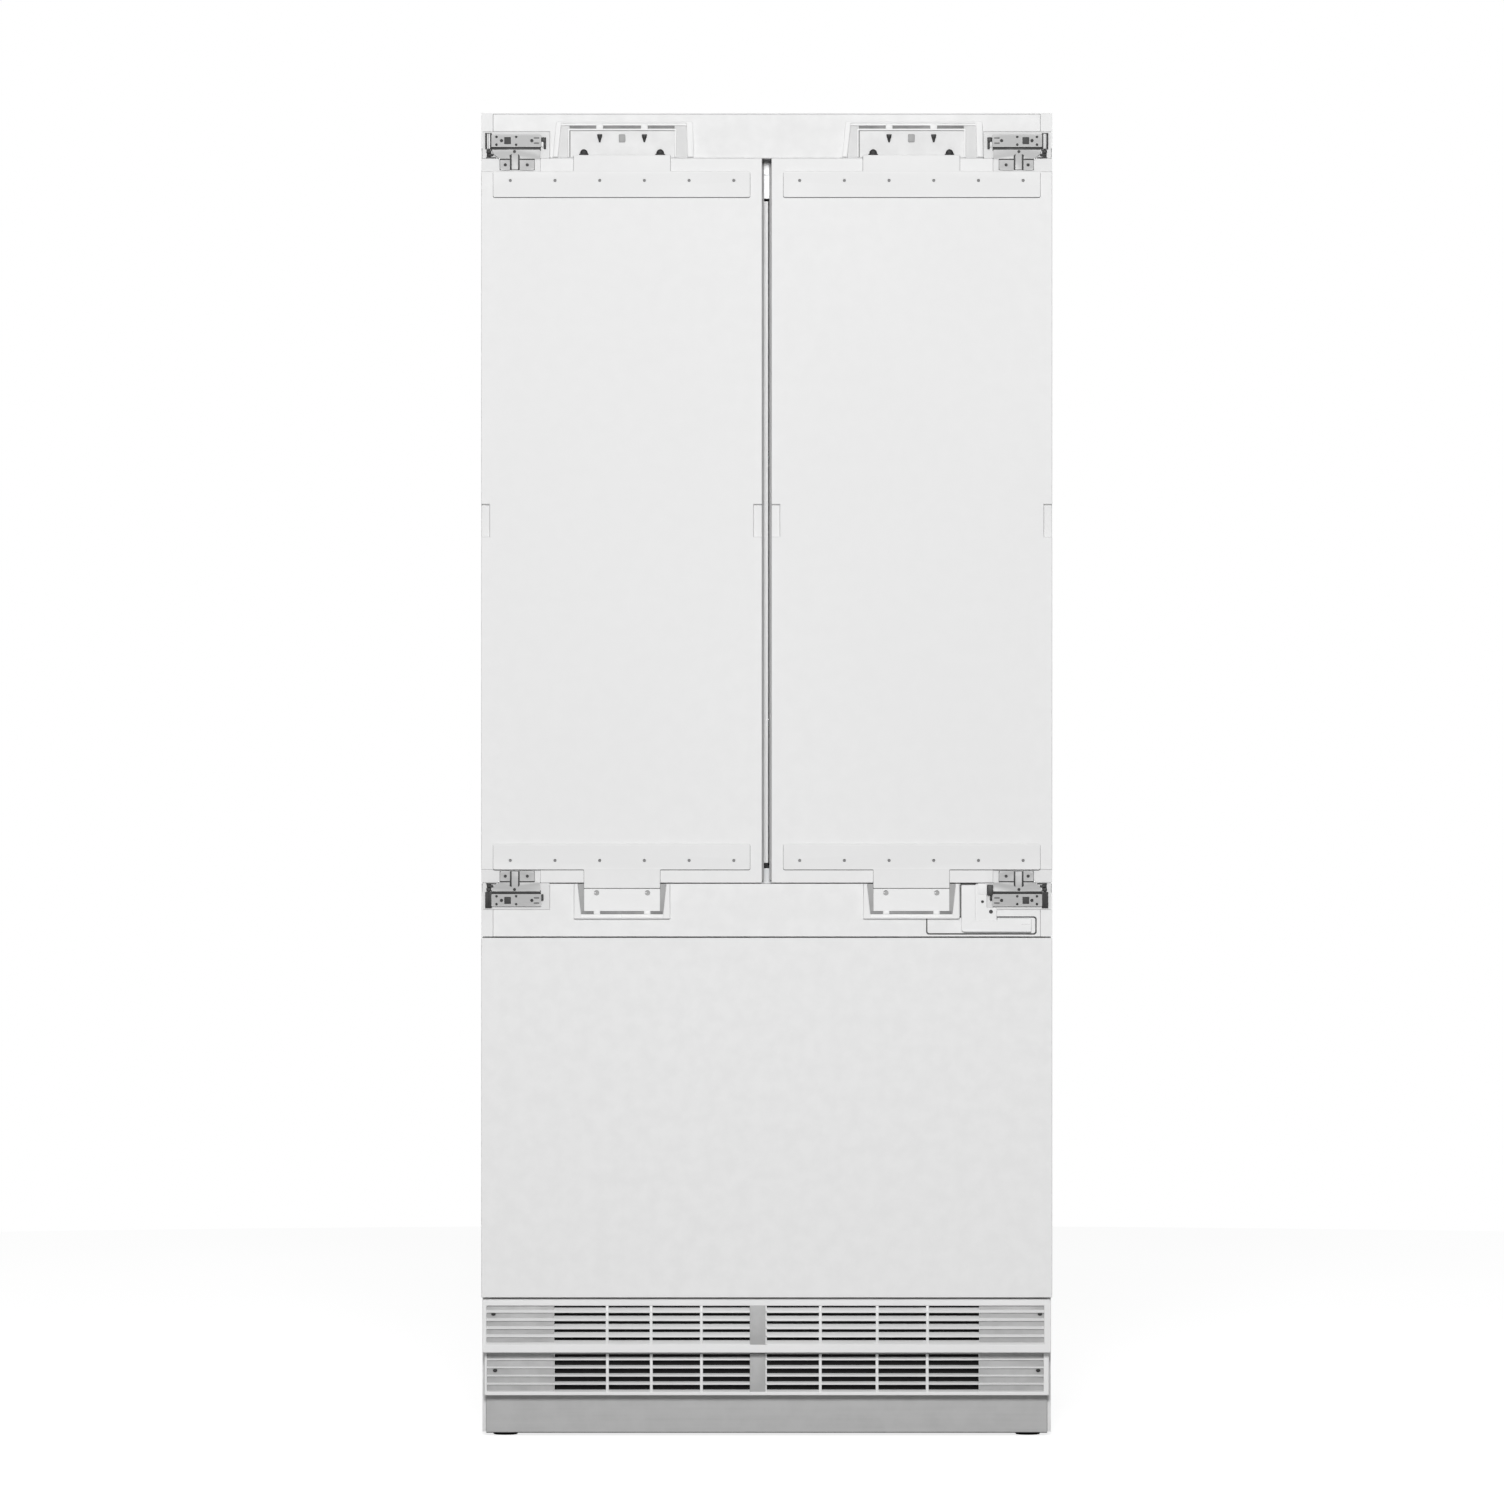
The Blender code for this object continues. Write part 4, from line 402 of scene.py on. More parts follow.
def make_streaks():
    inputs = {"Scale": 60.0, "Along": 0.02, "Across": 1.0, "Deep": 1.0}
    group, given, out = new_group("streaks", inputs, ["Value"])
    parts = group.nodes.new("ShaderNodeSeparateXYZ")
    squeezed = group.nodes.new("ShaderNodeCombineXYZ")
    group.links.new(object_place(group), parts.inputs["Vector"])
    for axis, label in zip("XYZ", ("Along", "Deep", "Across")):
        times = group.nodes.new("ShaderNodeMath")
        times.operation = "MULTIPLY"
        group.links.new(parts.outputs[axis], times.inputs[0])
        group.links.new(given.outputs[label], times.inputs[1])
        group.links.new(times.outputs["Value"], squeezed.inputs[axis])
    lines = noise(group, given.outputs["Scale"], 4.0, squeezed.outputs["Vector"], 0.65)
    group.links.new(remap(group, lines, 0.3, 0.7), out.inputs["Value"])
    return group


# Edge mask: lightens outer edges, partly as wear and partly as a painted highlight.
def make_edge_wear_and_highlight():
    group, given, out = new_group("edge_wear_and_highlight", {"Scale": 40.0}, ["Mask"])
    pointy = group.nodes.new("ShaderNodeNewGeometry").outputs["Pointiness"]
    edge = remap(group, pointy, 0.505, 0.60)
    patches = noise(group, given.outputs["Scale"], 3.0, object_place(group))
    broken = remap(group, patches, 0.35, 0.65, 0.3, 1.0)
    both = group.nodes.new("ShaderNodeMath")
    both.operation = "MULTIPLY"
    group.links.new(edge, both.inputs[0])
    group.links.new(broken, both.inputs[1])
    group.links.new(both.outputs["Value"], out.inputs["Mask"])
    return group


GROUPS = {
    "cloudy": make_cloudy(),
    "grain": make_grain(),
    "streaks": make_streaks(),
    "edge_wear_and_highlight": make_edge_wear_and_highlight(),
}
print("node groups:", ", ".join(GROUPS))

# %% [markdown]
# ## Finishes
#
# A finish starts as a Principled shader with two colours that its pattern moves between. From there
# a few lines give it its own character. Constants sit on the shader's own sockets, and only what
# varies over the surface comes through nodes.

# %% The finish maker

GRAIN_DEPTH = 0.0003


def place_group(tree, name, **values):
    node = tree.nodes.new("ShaderNodeGroup")
    node.node_tree = GROUPS[name]
    for label, value in values.items():
        node.inputs[label].default_value = value
    return node


def blend_colours(tree, mask, first, second):
    """The first colour where the mask is 0, the second where it is 1. Each is a socket, a grey or r, g, b."""
    mix = tree.nodes.new("ShaderNodeMix")
    mix.data_type = "RGBA"
    tree.links.new(mask, mix.inputs["Factor"])
    for label, colour in (("A", first), ("B", second)):
        socket = next(s for s in mix.inputs if s.name == label and s.type == "RGBA")
        if isinstance(colour, bpy.types.NodeSocket):
            tree.links.new(colour, socket)
        elif isinstance(colour, float):
            socket.default_value = (colour, colour, colour, 1.0)
        else:
            socket.default_value = (*colour, 1.0)
    return next(s for s in mix.outputs if s.type == "RGBA")


def finish_of(
    name, slot, dark, light, roughness, bump, edge=None, metallic=0.0, coat=0.0, pattern="cloudy",
    grain_scale=900.0, **pattern_values
):
    """A Principled material. roughness is a pair of limits that the same pattern moves between."""
    material = bpy.data.materials.new(name)
    material.use_nodes = True
    tree = material.node_tree
    shader = tree.nodes["Principled BSDF"]
    shader.inputs["Metallic"].default_value = metallic
    shader.inputs["Coat Weight"].default_value = coat
    node = place_group(tree, pattern, **pattern_values)
    value = node.outputs["Value"]
    colour = blend_colours(tree, value, dark, light)
    # The lighter edge colour is partly wear and partly a painted highlight along outer edges.
    if edge is not None:
        mask = place_group(tree, "edge_wear_and_highlight").outputs["Mask"]
        colour = blend_colours(tree, mask, colour, edge)
    tree.links.new(colour, shader.inputs["Base Color"])
    tree.links.new(remap(tree, value, 0.0, 1.0, *roughness), shader.inputs["Roughness"])
    if bump:
        fine = place_group(tree, "grain", Scale=grain_scale)
        raised = tree.nodes.new("ShaderNodeBump")
        raised.inputs["Strength"].default_value = bump
        raised.inputs["Distance"].default_value = GRAIN_DEPTH
        tree.links.new(fine.outputs["Height"], raised.inputs["Height"])
        tree.links.new(raised.outputs["Normal"], shader.inputs["Normal"])
    LOOKS[name] = material
    SLOT_OF[name] = slot
    return material


def see_through(material, weight, ior):
    shader = material.node_tree.nodes["Principled BSDF"]
    shader.inputs["Transmission Weight"].default_value = weight
    shader.inputs["IOR"].default_value = ior
    return material


print("grain stands", 1000 * GRAIN_DEPTH, "mm high at full strength")

# %% [markdown]
# Doors and case are sheet metal under a satin powder paint, and the rails, strips and frames are
# moulded plastic in nearly the same white. They differ in how light and how smooth they are, which is
# what lets the eye part them, so each gets its own numbers.

# %% Painted sheet metal and moulded plastic

finish_of("door_paint", "white_paint", 0.80, 0.812, (0.52, 0.58), 0.06, 0.86, Scale=2.2)
finish_of("case_paint", "white_paint", 0.80, 0.82, (0.50, 0.58), 0.08, 0.85, Scale=4.0)
finish_of("rail_plastic", "white_plastic", 0.79, 0.805, (0.46, 0.54), 0.03, 0.90, Scale=5.0)
finish_of("top_rail_plastic", "white_plastic", 0.745, 0.76, (0.46, 0.54), 0.03, 0.88, Scale=5.0)
finish_of("strip_plastic", "white_plastic", 0.785, 0.80, (0.50, 0.58), 0.03, 0.86, Scale=10.0)
# Painted light: the mullion is paler than the other white plastic, so the deep gap between the doors reads
# light.
finish_of("mullion_plastic_painted_light", "white_plastic", 0.87, 0.89, (0.46, 0.54), 0.03, Scale=10.0)
finish_of("fitting_plastic", "white_plastic", 0.825, 0.845, (0.44, 0.52), 0.025, 0.93, Scale=14.0)
finish_of("louvre_plastic", "grille_plastic", 0.83, 0.86, (0.36, 0.46), 0.04, 0.84, Scale=9.0)
liner_colours = (0.83, 0.84, 0.85), (0.86, 0.87, 0.88)
finish_of("liner_gloss", "liner_plastic", *liner_colours, (0.22, 0.32), 0.03, (0.90, 0.91, 0.92), Scale=3.0)
finish_of("black_moulding", "black_plastic", 0.018, 0.035, (0.42, 0.58), 0.10, 0.07, Scale=30.0)
panel_colours = (0.03, 0.034, 0.04), (0.05, 0.055, 0.062)
finish_of("gloss_panel", "panel_dark", *panel_colours, (0.08, 0.14), 0.0, Scale=6.0)
print(len(LOOKS), "finishes so far")

# %% [markdown]
# Rolled and brushed metal shows fine lines in one direction. `streaks` draws them, with noise that is
# squeezed far more along one axis than the other. The dark steel of the hinges lies in deep gaps and
# is nearly black, so it needs no lines.

# %% Metals

finish_of("hinge_plate_steel", "hinge_steel", 0.42, 0.47, (0.44, 0.54), 0.05, 0.72, pattern="streaks",
          Scale=260.0, Along=0.06)
finish_of("hinge_shadow_steel", "hinge_steel", 0.012, 0.026, (0.50, 0.62), 0.06, 0.05, Scale=60.0)
# Painted highlight: bright metal for a small block that stands for a glint on the hinge leaf.
finish_of("painted_highlight_metal", "hinge_steel", 0.50, 0.66, (0.22, 0.34), 0.04, metallic=1.0, Scale=300.0)
finish_of("brushed_kick", "kick_steel", 0.408, 0.464, (0.40, 0.50), 0.04, 0.50, metallic=0.1,
          pattern="streaks", Scale=90.0, Along=0.03, Across=1.4)
zinc_colours = (0.46, 0.47, 0.49), (0.62, 0.63, 0.65)
finish_of("zinc_sheet", "galvanised", *zinc_colours, (0.34, 0.52), 0.06, (0.70, 0.71, 0.73), metallic=0.9,
          Scale=70.0)
coil_colours = (0.58, 0.59, 0.60), (0.74, 0.75, 0.76)
finish_of("coil_tube", "coil_metal", *coil_colours, (0.30, 0.42), 0.05, metallic=0.9, pattern="streaks",
          Scale=120.0)
finish_of("compressor_enamel", "compressor_black", 0.020, 0.036, (0.28, 0.40), 0.12, 0.08, metallic=0.2,
          coat=0.2, Scale=24.0)
print(len(LOOKS), "finishes so far")

# %% [markdown]
# Rubber is dark and matt, and foam has a coarse grain. Glass shelves and clear bins let light through,
# which the shader's transmission does.

# %% Rubber, foam and see-through finishes

finish_of("foot_rubber", "black_rubber", 0.014, 0.026, (0.62, 0.80), 0.25, Scale=60.0)
finish_of("gasket_rubber", "grey_rubber", 0.55, 0.60, (0.55, 0.68), 0.08, Scale=24.0)
foam_colours = (0.82, 0.76, 0.55), (0.90, 0.85, 0.66)
finish_of("insulating_foam", "foam", *foam_colours, (0.85, 0.95), 0.6, grain_scale=400.0, Scale=50.0)
glass_colours = (0.78, 0.90, 0.88), (0.82, 0.93, 0.91)
see_through(finish_of("shelf_glass", "glass", *glass_colours, (0.02, 0.05), 0.0, Scale=4.0), 0.92, 1.5)
bin_colours = (0.86, 0.91, 0.95), (0.90, 0.94, 0.97)
see_through(finish_of("bin_plastic", "clear_plastic", *bin_colours, (0.06, 0.12), 0.0, Scale=9.0), 0.80, 1.45)
print(len(LOOKS), "finishes so far")

# %% [markdown]
# Small recesses, gaps and pads are given a darker finish of their own, which is painted shade. Soft
# studio light fills them more than the light of a real room does, so shadow alone would leave them
# too pale.

# %% Recesses, gaps and pads

# Painted shade: darker copies of the white plastic and paint, for the frame's recess and tray and the hinge
# pockets.
finish_of("recess_plastic_painted_shade", "white_plastic", 0.62, 0.67, (0.50, 0.60), 0.03, 0.74, Scale=18.0)
finish_of("tray_plastic_painted_shade", "white_plastic", 0.68, 0.73, (0.46, 0.56), 0.03, 0.84, Scale=18.0)
finish_of("pocket_plastic_painted_shade", "hinge_steel", 0.70, 0.74, (0.50, 0.60), 0.03, 0.80, Scale=16.0)
finish_of("pocket_paint_painted_shade", "hinge_steel", 0.74, 0.78, (0.50, 0.58), 0.04, 0.82, Scale=16.0)
# Painted shade: a dark grey for holes, slots and gaps where shade falls.
finish_of("painted_shade_grey", "white_plastic", 0.13, 0.18, (0.48, 0.60), 0.06, 0.30, Scale=90.0)
# A grey for the small clip, and painted shade in the lower frames' gaps.
finish_of("grey_clip_and_painted_shade", "white_plastic", 0.34, 0.40, (0.48, 0.60), 0.06, 0.40, Scale=90.0)
finish_of("panel_grey", "grille_plastic", 0.405, 0.42, (0.50, 0.56), 0.0, 0.50, Scale=3.0)
# Painted shade: near black, for the pad and strip behind the grille louvres.
finish_of("painted_shade_pad", "grille_plastic", 0.006, 0.014, (0.85, 0.95), 0.6, grain_scale=500.0, Scale=80.0)
# Pale zinc for the hinges' side bars, and a painted highlight on the upper hinges.
finish_of("pale_zinc_and_painted_highlight", "hinge_steel", 0.74, 0.80, (0.40, 0.50), 0.03, 0.86, Scale=120.0)
finish_of("hinge_groove", "hinge_steel", 0.08, 0.14, (0.45, 0.55), 0.03, Scale=90.0)
print(len(LOOKS), "finishes")

# %% [markdown]
# ## Finishing the CAD solids
#
# The CAD solids have knife-sharp edges, which real sheet metal and plastic never have. An edge
# without a radius catches no light and looks like a drawing. Five modifiers mend that without
# touching the mesh:
#
# - Weld joins the loose triangles;
# - Decimate merges the flat ones into whole faces;
# - Triangulate cuts the faces that have more than four corners, because a face with a hole in it can
#   fill wrongly once its edges are rounded;
# - Bevel rounds every edge that turns by more than 40 degrees;
# - Weighted Normal lets the wide faces decide the shading, so they stay flat up to the rounding.

# %% Round the edges of a CAD node and give it a finish

EQUAL_WITHIN = 0.00001
FLAT_WITHIN = math.radians(1.0)
SHARP_BEYOND = math.radians(40)
CUT_FROM_CORNERS = 5
WIDE_FACE_WEIGHT = 100
USUAL_ROUNDING = 0.0008


def dress(node, look, radius):
    """Finishes a CAD node where it stands."""
    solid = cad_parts[node]
    joined = solid.modifiers.new("weld", "WELD")
    joined.merge_threshold = EQUAL_WITHIN
    flat = solid.modifiers.new("flatten", "DECIMATE")
    flat.decimate_type = "DISSOLVE"
    flat.angle_limit = FLAT_WITHIN
    cut = solid.modifiers.new("cut_up", "TRIANGULATE")
    cut.min_vertices = CUT_FROM_CORNERS
    bevel = solid.modifiers.new("round", "BEVEL")
    bevel.width = radius
    bevel.segments = 2
    bevel.limit_method = "ANGLE"
    bevel.angle_limit = SHARP_BEYOND
    weigh = solid.modifiers.new("weigh", "WEIGHTED_NORMAL")
    weigh.weight = WIDE_FACE_WEIGHT
    solid.data.polygons.foreach_set("use_smooth", np.ones(len(solid.data.polygons), bool))
    solid.data.materials.clear()
    solid.data.materials.append(LOOKS[look])


CAD_FINISHES = {
    "door_paint": ["left_door_panel", "right_door_panel", "drawer_panel"],
    "case_paint": ["cabinet_shell"],
    "rail_plastic": ["mid_rail"],
    "top_rail_plastic": ["top_rail"],
    "mullion_plastic_painted_light": ["flip_mullion"],
    "brushed_kick": ["kick_plate"],
    "liner_gloss": [
        "fridge_liner", "freezer_liner", "left_door_liner", "right_door_liner", "drawer_liner",
        "freezer_basket", "evaporator_cover",
    ],
    "gasket_rubber": ["left_door_gasket", "right_door_gasket", "drawer_gasket"],
    "bin_plastic": [
        "left_door_bin_1", "left_door_bin_2", "right_door_bin_1", "right_door_bin_2", "freezer_tray",
        "crisper_left", "crisper_right",
    ],
    "shelf_glass": ["glass_shelf_lower", "glass_shelf_upper"],
    "gloss_panel": ["control_panel"],
    "zinc_sheet": ["drawer_track_left", "drawer_track_right", "drawer_middle_slides", "base_pan"],
    "coil_tube": ["evaporator", "condenser"],
    "compressor_enamel": ["compressor"],
    "foot_rubber": ["foot_left", "foot_right"],
    "black_moulding": ["rear_rollers", "condenser_fan", "evaporator_fan"],
    "insulating_foam": ["insulation"],
}
ROUND_BY = {"door_paint": 0.0012, "case_paint": 0.0005, "bin_plastic": 0.0006, "coil_tube": 0.0003}
for look, nodes in CAD_FINISHES.items():
    for node in nodes:
        dress(node, look, ROUND_BY.get(look, USUAL_ROUNDING))
print("dressed", sum(len(nodes) for nodes in CAD_FINISHES.values()), "CAD solids")

# %% [markdown]
# ## Outlines with rounded corners
#
# Pressed and moulded fittings have no sharp corners, so most outlines below are polygons whose
# corners are replaced by small curves. A drawing for the right side and the upper edge of a door
# serves all four corners, since `at_corner` mirrors it.

# %% Polygons with rounded corners


def fillet(corners, radii=0.0008, steps=4):
    """Near a corner c: p = (1 - t)^2 a + 2 t (1 - t) c + t^2 b, from a on one side to b on the other."""
    corners = np.asarray(corners, float)
    to_before, to_after = np.roll(corners, 1, 0) - corners, np.roll(corners, -1, 0) - corners
    before, after = np.linalg.norm(to_before, axis=1), np.linalg.norm(to_after, axis=1)
    unit_before, unit_after = to_before / before[:, None], to_after / after[:, None]
    half_angle = np.arccos(np.clip(np.sum(unit_before * unit_after, 1), -0.999, 0.999)) / 2
    most = 0.45 * np.minimum(before, after)
    reach = np.minimum(np.broadcast_to(radii, len(corners)) / np.tan(half_angle), most)
    a, b = corners + unit_before * reach[:, None], corners + unit_after * reach[:, None]
    t = np.linspace(0, 1, steps + 1)[None, :, None]
    loop = ((1 - t) ** 2 * a[:, None] + 2 * t * (1 - t) * corners[:, None] + t**2 * b[:, None]).reshape(-1, 2)
    return loop[np.linalg.norm(loop - np.roll(loop, 1, 0), axis=1) > 1e-6]


def side_name(side):
    return "left" if side < 0 else "right"


def at_corner(corner, *shapes):
    """Shapes drawn for the upper right corner, put at a corner given as (side, up, level of the edge)."""
    return [flipped(shape, *corner) for shape in shapes]


def across(low_x, high_x, front, rear, low_z, high_z, radius):
    return block((low_x, front, low_z), (high_x, rear, high_z), radius)


def shifted(move, *shapes):
    return [placed(shape, move=move) for shape in shapes]


SIDES = (-1, 1)
EDGES = (("top", 1, DOOR_TOP), ("bottom", -1, DOOR_BOTTOM))
CORNERS = [(side_name(side), place, (side, up, edge)) for side in SIDES for place, up, edge in EDGES]
print(len(CORNERS), "corners share one drawing")

# %% [markdown]
# ## Panel strips
#
# A moulded strip near each end of a door takes the screws of the furniture panel. It is a flat
# plate with a tab that reaches past the door's edge, and six holes. A thin black plate behind it is a
# painted shadow, a crisp dark line along one edge, and grey discs behind the holes are painted shade
# in them. All of it could be cut with Booleans, but a plate made with its holes needs no cutting and
# has clean edges.

# %% The strips, their painted shadow lines and the painted shade in their holes

STRIP_OUTER = -0.021  # the strip's own edge, from the door's edge
STRIP_HOLE_LEVEL = -0.0355
STRIP_HOLES = 6
STRIP_HOLE_PITCH = 0.07106
STRIP_HOLE_RADIUS, HOLE_SHADE_RADIUS = 0.0024, 0.00235
FITTING_CENTRE = 0.230
TAB_HALF = {"top": 0.077, "bottom": 0.0605}
SHADOW_LINE_BEYOND, SHADOW_LINE_SHOWS = 0.0004, 0.0006
hole_places = FITTING_CENTRE + STRIP_HOLE_PITCH * (np.arange(STRIP_HOLES) - (STRIP_HOLES - 1) / 2)


def strip_outline(node, tab_half, up, edge):
    """A long plate with a tab in its middle. Heights count from the door's edge."""
    near, far = sorted(abs(value) for value in span(node, "x"))
    inner, tip = sorted(up * (value - edge) for value in span(node, "z"))
    tab_near, tab_far = FITTING_CENTRE - tab_half, FITTING_CENTRE + tab_half
    corners = [
        (near, inner), (far, inner), (far, STRIP_OUTER), (tab_far, STRIP_OUTER), (tab_far, tip),
        (tab_near, tip), (tab_near, STRIP_OUTER), (near, STRIP_OUTER),
    ]
    return anticlockwise(fillet(corners, (0.003, 0.003, 0.003, 0.0015, 0.0012, 0.0012, 0.0015, 0.003)))


for side, place, corner in CORNERS:
    node, door = f"{side}_strip_{place}", f"{side}_door"
    front, rear = span(node, "y")
    _, up, edge = corner
    outline = strip_outline(node, TAB_HALF[place], up, edge)
    holes = [circle(x, STRIP_HOLE_LEVEL, STRIP_HOLE_RADIUS, 14) for x in hole_places]
    strip = plate(outline, front, rear, holes=holes, edge=0.0006, edge_steps=3)
    # Painted shadow: a black plate behind the strip that shows as a dark line below its lower edge.
    shadow_line_outline = inset(outline, -SHADOW_LINE_BEYOND) - np.array([0, up * SHADOW_LINE_SHOWS])
    foam = plate(shadow_line_outline, rear + 0.00003, rear + 0.00025, edge=0.00005, edge_steps=1)
    # Painted shade: grey discs behind the holes darken them.
    hole_shades = [
        plate(circle(x, STRIP_HOLE_LEVEL, HOLE_SHADE_RADIUS, 14), rear - 0.0010, rear, edge=0.0002, edge_steps=1)
        for x in hole_places
    ]
    piece(f"{node}_plate", at_corner(corner, strip), "strip_plastic", door, (node,))
    piece(f"{node}_foam", at_corner(corner, foam), "black_moulding", door)
    piece(f"{node}_plugs", at_corner(corner, *hole_shades), "painted_shade_grey", door)
print("strip holes at", np.round(hole_places, 3))

# %% [markdown]
# ## Panel frames
#
# The strip's tab ends inside a frame on the rail. Seen from the front, a frame is a U of two legs
# and a lip. Under the upper lip a slot runs across, its dark grey painted shade, broken by two white
# bosses whose screws hang down into a shallow tray. Screws are turned shapes, pressed flat to fit
# the frame's depth.

# %% Shapes that the frames are made of

TOP_FRAME_FRONT, TOP_FRAME_REAR = span("top_frame_left", "y")
TOP_FRAME_LOW, TOP_FRAME_HIGH = span("top_frame_left", "z")
LIP_EDGE = 0.0024
LIP_LOW = TOP_FRAME_HIGH - 0.006
TRAY_HIGH = LIP_LOW - 0.005
POINT_LENGTH, POINT_RADIUS = 0.0125, 0.0041
HEAD_RADIUS, HEAD_HEIGHT = 0.0076, 0.0092


def u_frame(feet, tops, legs, low, high, bar, radius=0.003):
    """Two legs that stand on a level and the bar across their tops. feet and tops are left and right."""
    corners = [
        (feet[0], low), (tops[0], high), (tops[1], high), (feet[1], low), (feet[1] - legs[1], low),
        (tops[1] - legs[1], high - bar), (tops[0] + legs[0], high - bar), (feet[0] + legs[0], low),
    ]
    return fillet(corners, (0.0003, radius, radius, 0.0003, 0.0003, 0.001, 0.001, 0.0003))


def screw_point(x, z, y):
    """A pointed screw that hangs down: its radius grows in steps with the height above its tip."""
    steps = [(0.3, 0), (0.55, 0.3), (0.62, 0.42), (0.85, 0.6), (1, 0.8), (1, 1)]
    profile = [(0, 0), *((r * POINT_RADIUS, h * POINT_LENGTH) for r, h in steps), (0, POINT_LENGTH)]
    return placed(spun(profile, (0, 0, 0), "z", 18), np.diag([1, 0.75, 1]), (x, y, z))


def screw_head(x, z, y):
    """A flange and a dome: (0.82 R sin t, H (0.25 + 0.75 cos t))."""
    turn = np.linspace(0, np.pi / 2, 6)
    dome = [
        (0.82 * HEAD_RADIUS * math.sin(t), 0.25 * HEAD_HEIGHT + 0.75 * HEAD_HEIGHT * math.cos(t))
        for t in turn
    ]
    profile = [*dome, (HEAD_RADIUS, 0.16 * HEAD_HEIGHT), (HEAD_RADIUS, 0), (0, 0)]
    return placed(spun(profile, (0, 0, 0), "z", 20), np.diag([1, 0.4, 1]), (x, y, z))


def frame_ribs(places, front, low, high):
    """Thin upright ribs inside a frame's lip."""
    depth = (front + 0.0012, front + 0.003)
    return [across(x - 0.0008, x + 0.0008, *depth, low, high, 0.0003) for x in places]


print("frames stand", round(1000 * (RAIL_FACE - TOP_FRAME_FRONT), 1), "mm proud of the rails")

# %% [markdown]
# The upper frame is six pieces: a white shell, the pale tray and the greyer recess behind it, the
# dark slot, the screws and a small clip. The tray, the recess and the slot are darker than the shell
# as painted shade. Each is a piece of its own because each has its own finish.

# %% The upper frames

BOSS_PLACES = (-0.0355, 0.0355)
TAB_SCREW_PLACES = (-0.0607, 0.0607)
LIP_RIBS = (-0.072, -0.043, -0.013, 0.018, 0.049)
front, rear = TOP_FRAME_FRONT, TOP_FRAME_REAR
low, high = TOP_FRAME_LOW, TOP_FRAME_HIGH
middle = (front + rear) / 2
for side in SIDES:
    name = f"top_frame_{side_name(side)}"
    move = (side * FITTING_CENTRE, 0, 0)
    outline = u_frame((-0.1100, 0.1138), (-0.1045, 0.1125), (0.0080, 0.0098), low, high, LIP_EDGE)
    shell = plate(outline, front, rear, edge=0.0007)
    band = block((-0.0975, front + 0.0026, LIP_LOW), (0.1035, rear - 0.0006, high - 0.0018), 0.0003)
    ribs = frame_ribs(LIP_RIBS, front, LIP_LOW, high - 0.002)
    rim_outline = u_frame((-0.0865, 0.0865), (-0.0865, 0.0865), (0.0028, 0.0030), low, TRAY_HIGH, 0.0026)
    rim = plate(rim_outline, front + 0.0010, rear - 0.001, edge=0.0005)
    boss_box = (front + 0.0008, rear - 0.0008, TRAY_HIGH - 0.001, LIP_LOW + 0.0022)
    bosses = [across(x - 0.0055, x + 0.0055, *boss_box, 0.0012) for x in BOSS_PLACES]
    white = shifted(move, shell, band, *ribs, rim, *bosses)
    piece(f"{name}_shell", white, "fitting_plastic", stands_for=(name,))
    tray = plate(rectangle(-0.0822, 0.0838, low + 0.0002, TRAY_HIGH - 0.0034), rear - 0.0018, rear - 0.0009)
    piece(f"{name}_tray", shifted(move, tray), "tray_plastic_painted_shade")
    back = plate(rectangle(-0.1015, 0.1045, low + 0.0001, LIP_LOW + 0.001), rear - 0.0009, rear - 0.0002)
    piece(f"{name}_recess", shifted(move, back), "recess_plastic_painted_shade")
    # Painted shade: a dark slot under the lip, and a dark line down the tray's left side.
    slot = block((-0.0835, rear - 0.0020, TRAY_HIGH), (0.0835, rear - 0.0010, LIP_LOW), 0.0002)
    line_foot, line_top = (-0.0838, rear - 0.0016, low + 0.0002), (-0.0822, rear - 0.0009, TRAY_HIGH - 0.0030)
    piece(f"{name}_slot", shifted(move, slot, block(line_foot, line_top, 0.0002)), "painted_shade_grey")
    dark = [screw_point(x, TRAY_HIGH - 0.0215, middle - 0.0004) for x in BOSS_PLACES]
    dark += [screw_head(x, low + 0.0038, middle - 0.0002) for x in TAB_SCREW_PLACES]
    piece(f"{name}_screws", shifted(move, *dark), "hinge_shadow_steel")
    clip_box = (front + 0.0026, rear - 0.001, TRAY_HIGH - 0.0215, TRAY_HIGH - 0.0088)
    clip = across(-0.0052, 0.0052, *clip_box, 0.0012)
    piece(f"{name}_clip", shifted(move, clip), "grey_clip_and_painted_shade")
print("upper frames from", round(low, 4), "to", round(high, 4), "m")

# %% [markdown]
# The lower frame is simpler: the U stands the right way up, and a plate with two holes stands
# between its legs. The grey of the gaps is painted shade: a grey piece of its own behind the plate,
# and a darker one in the slot under it.

# %% The lower frames

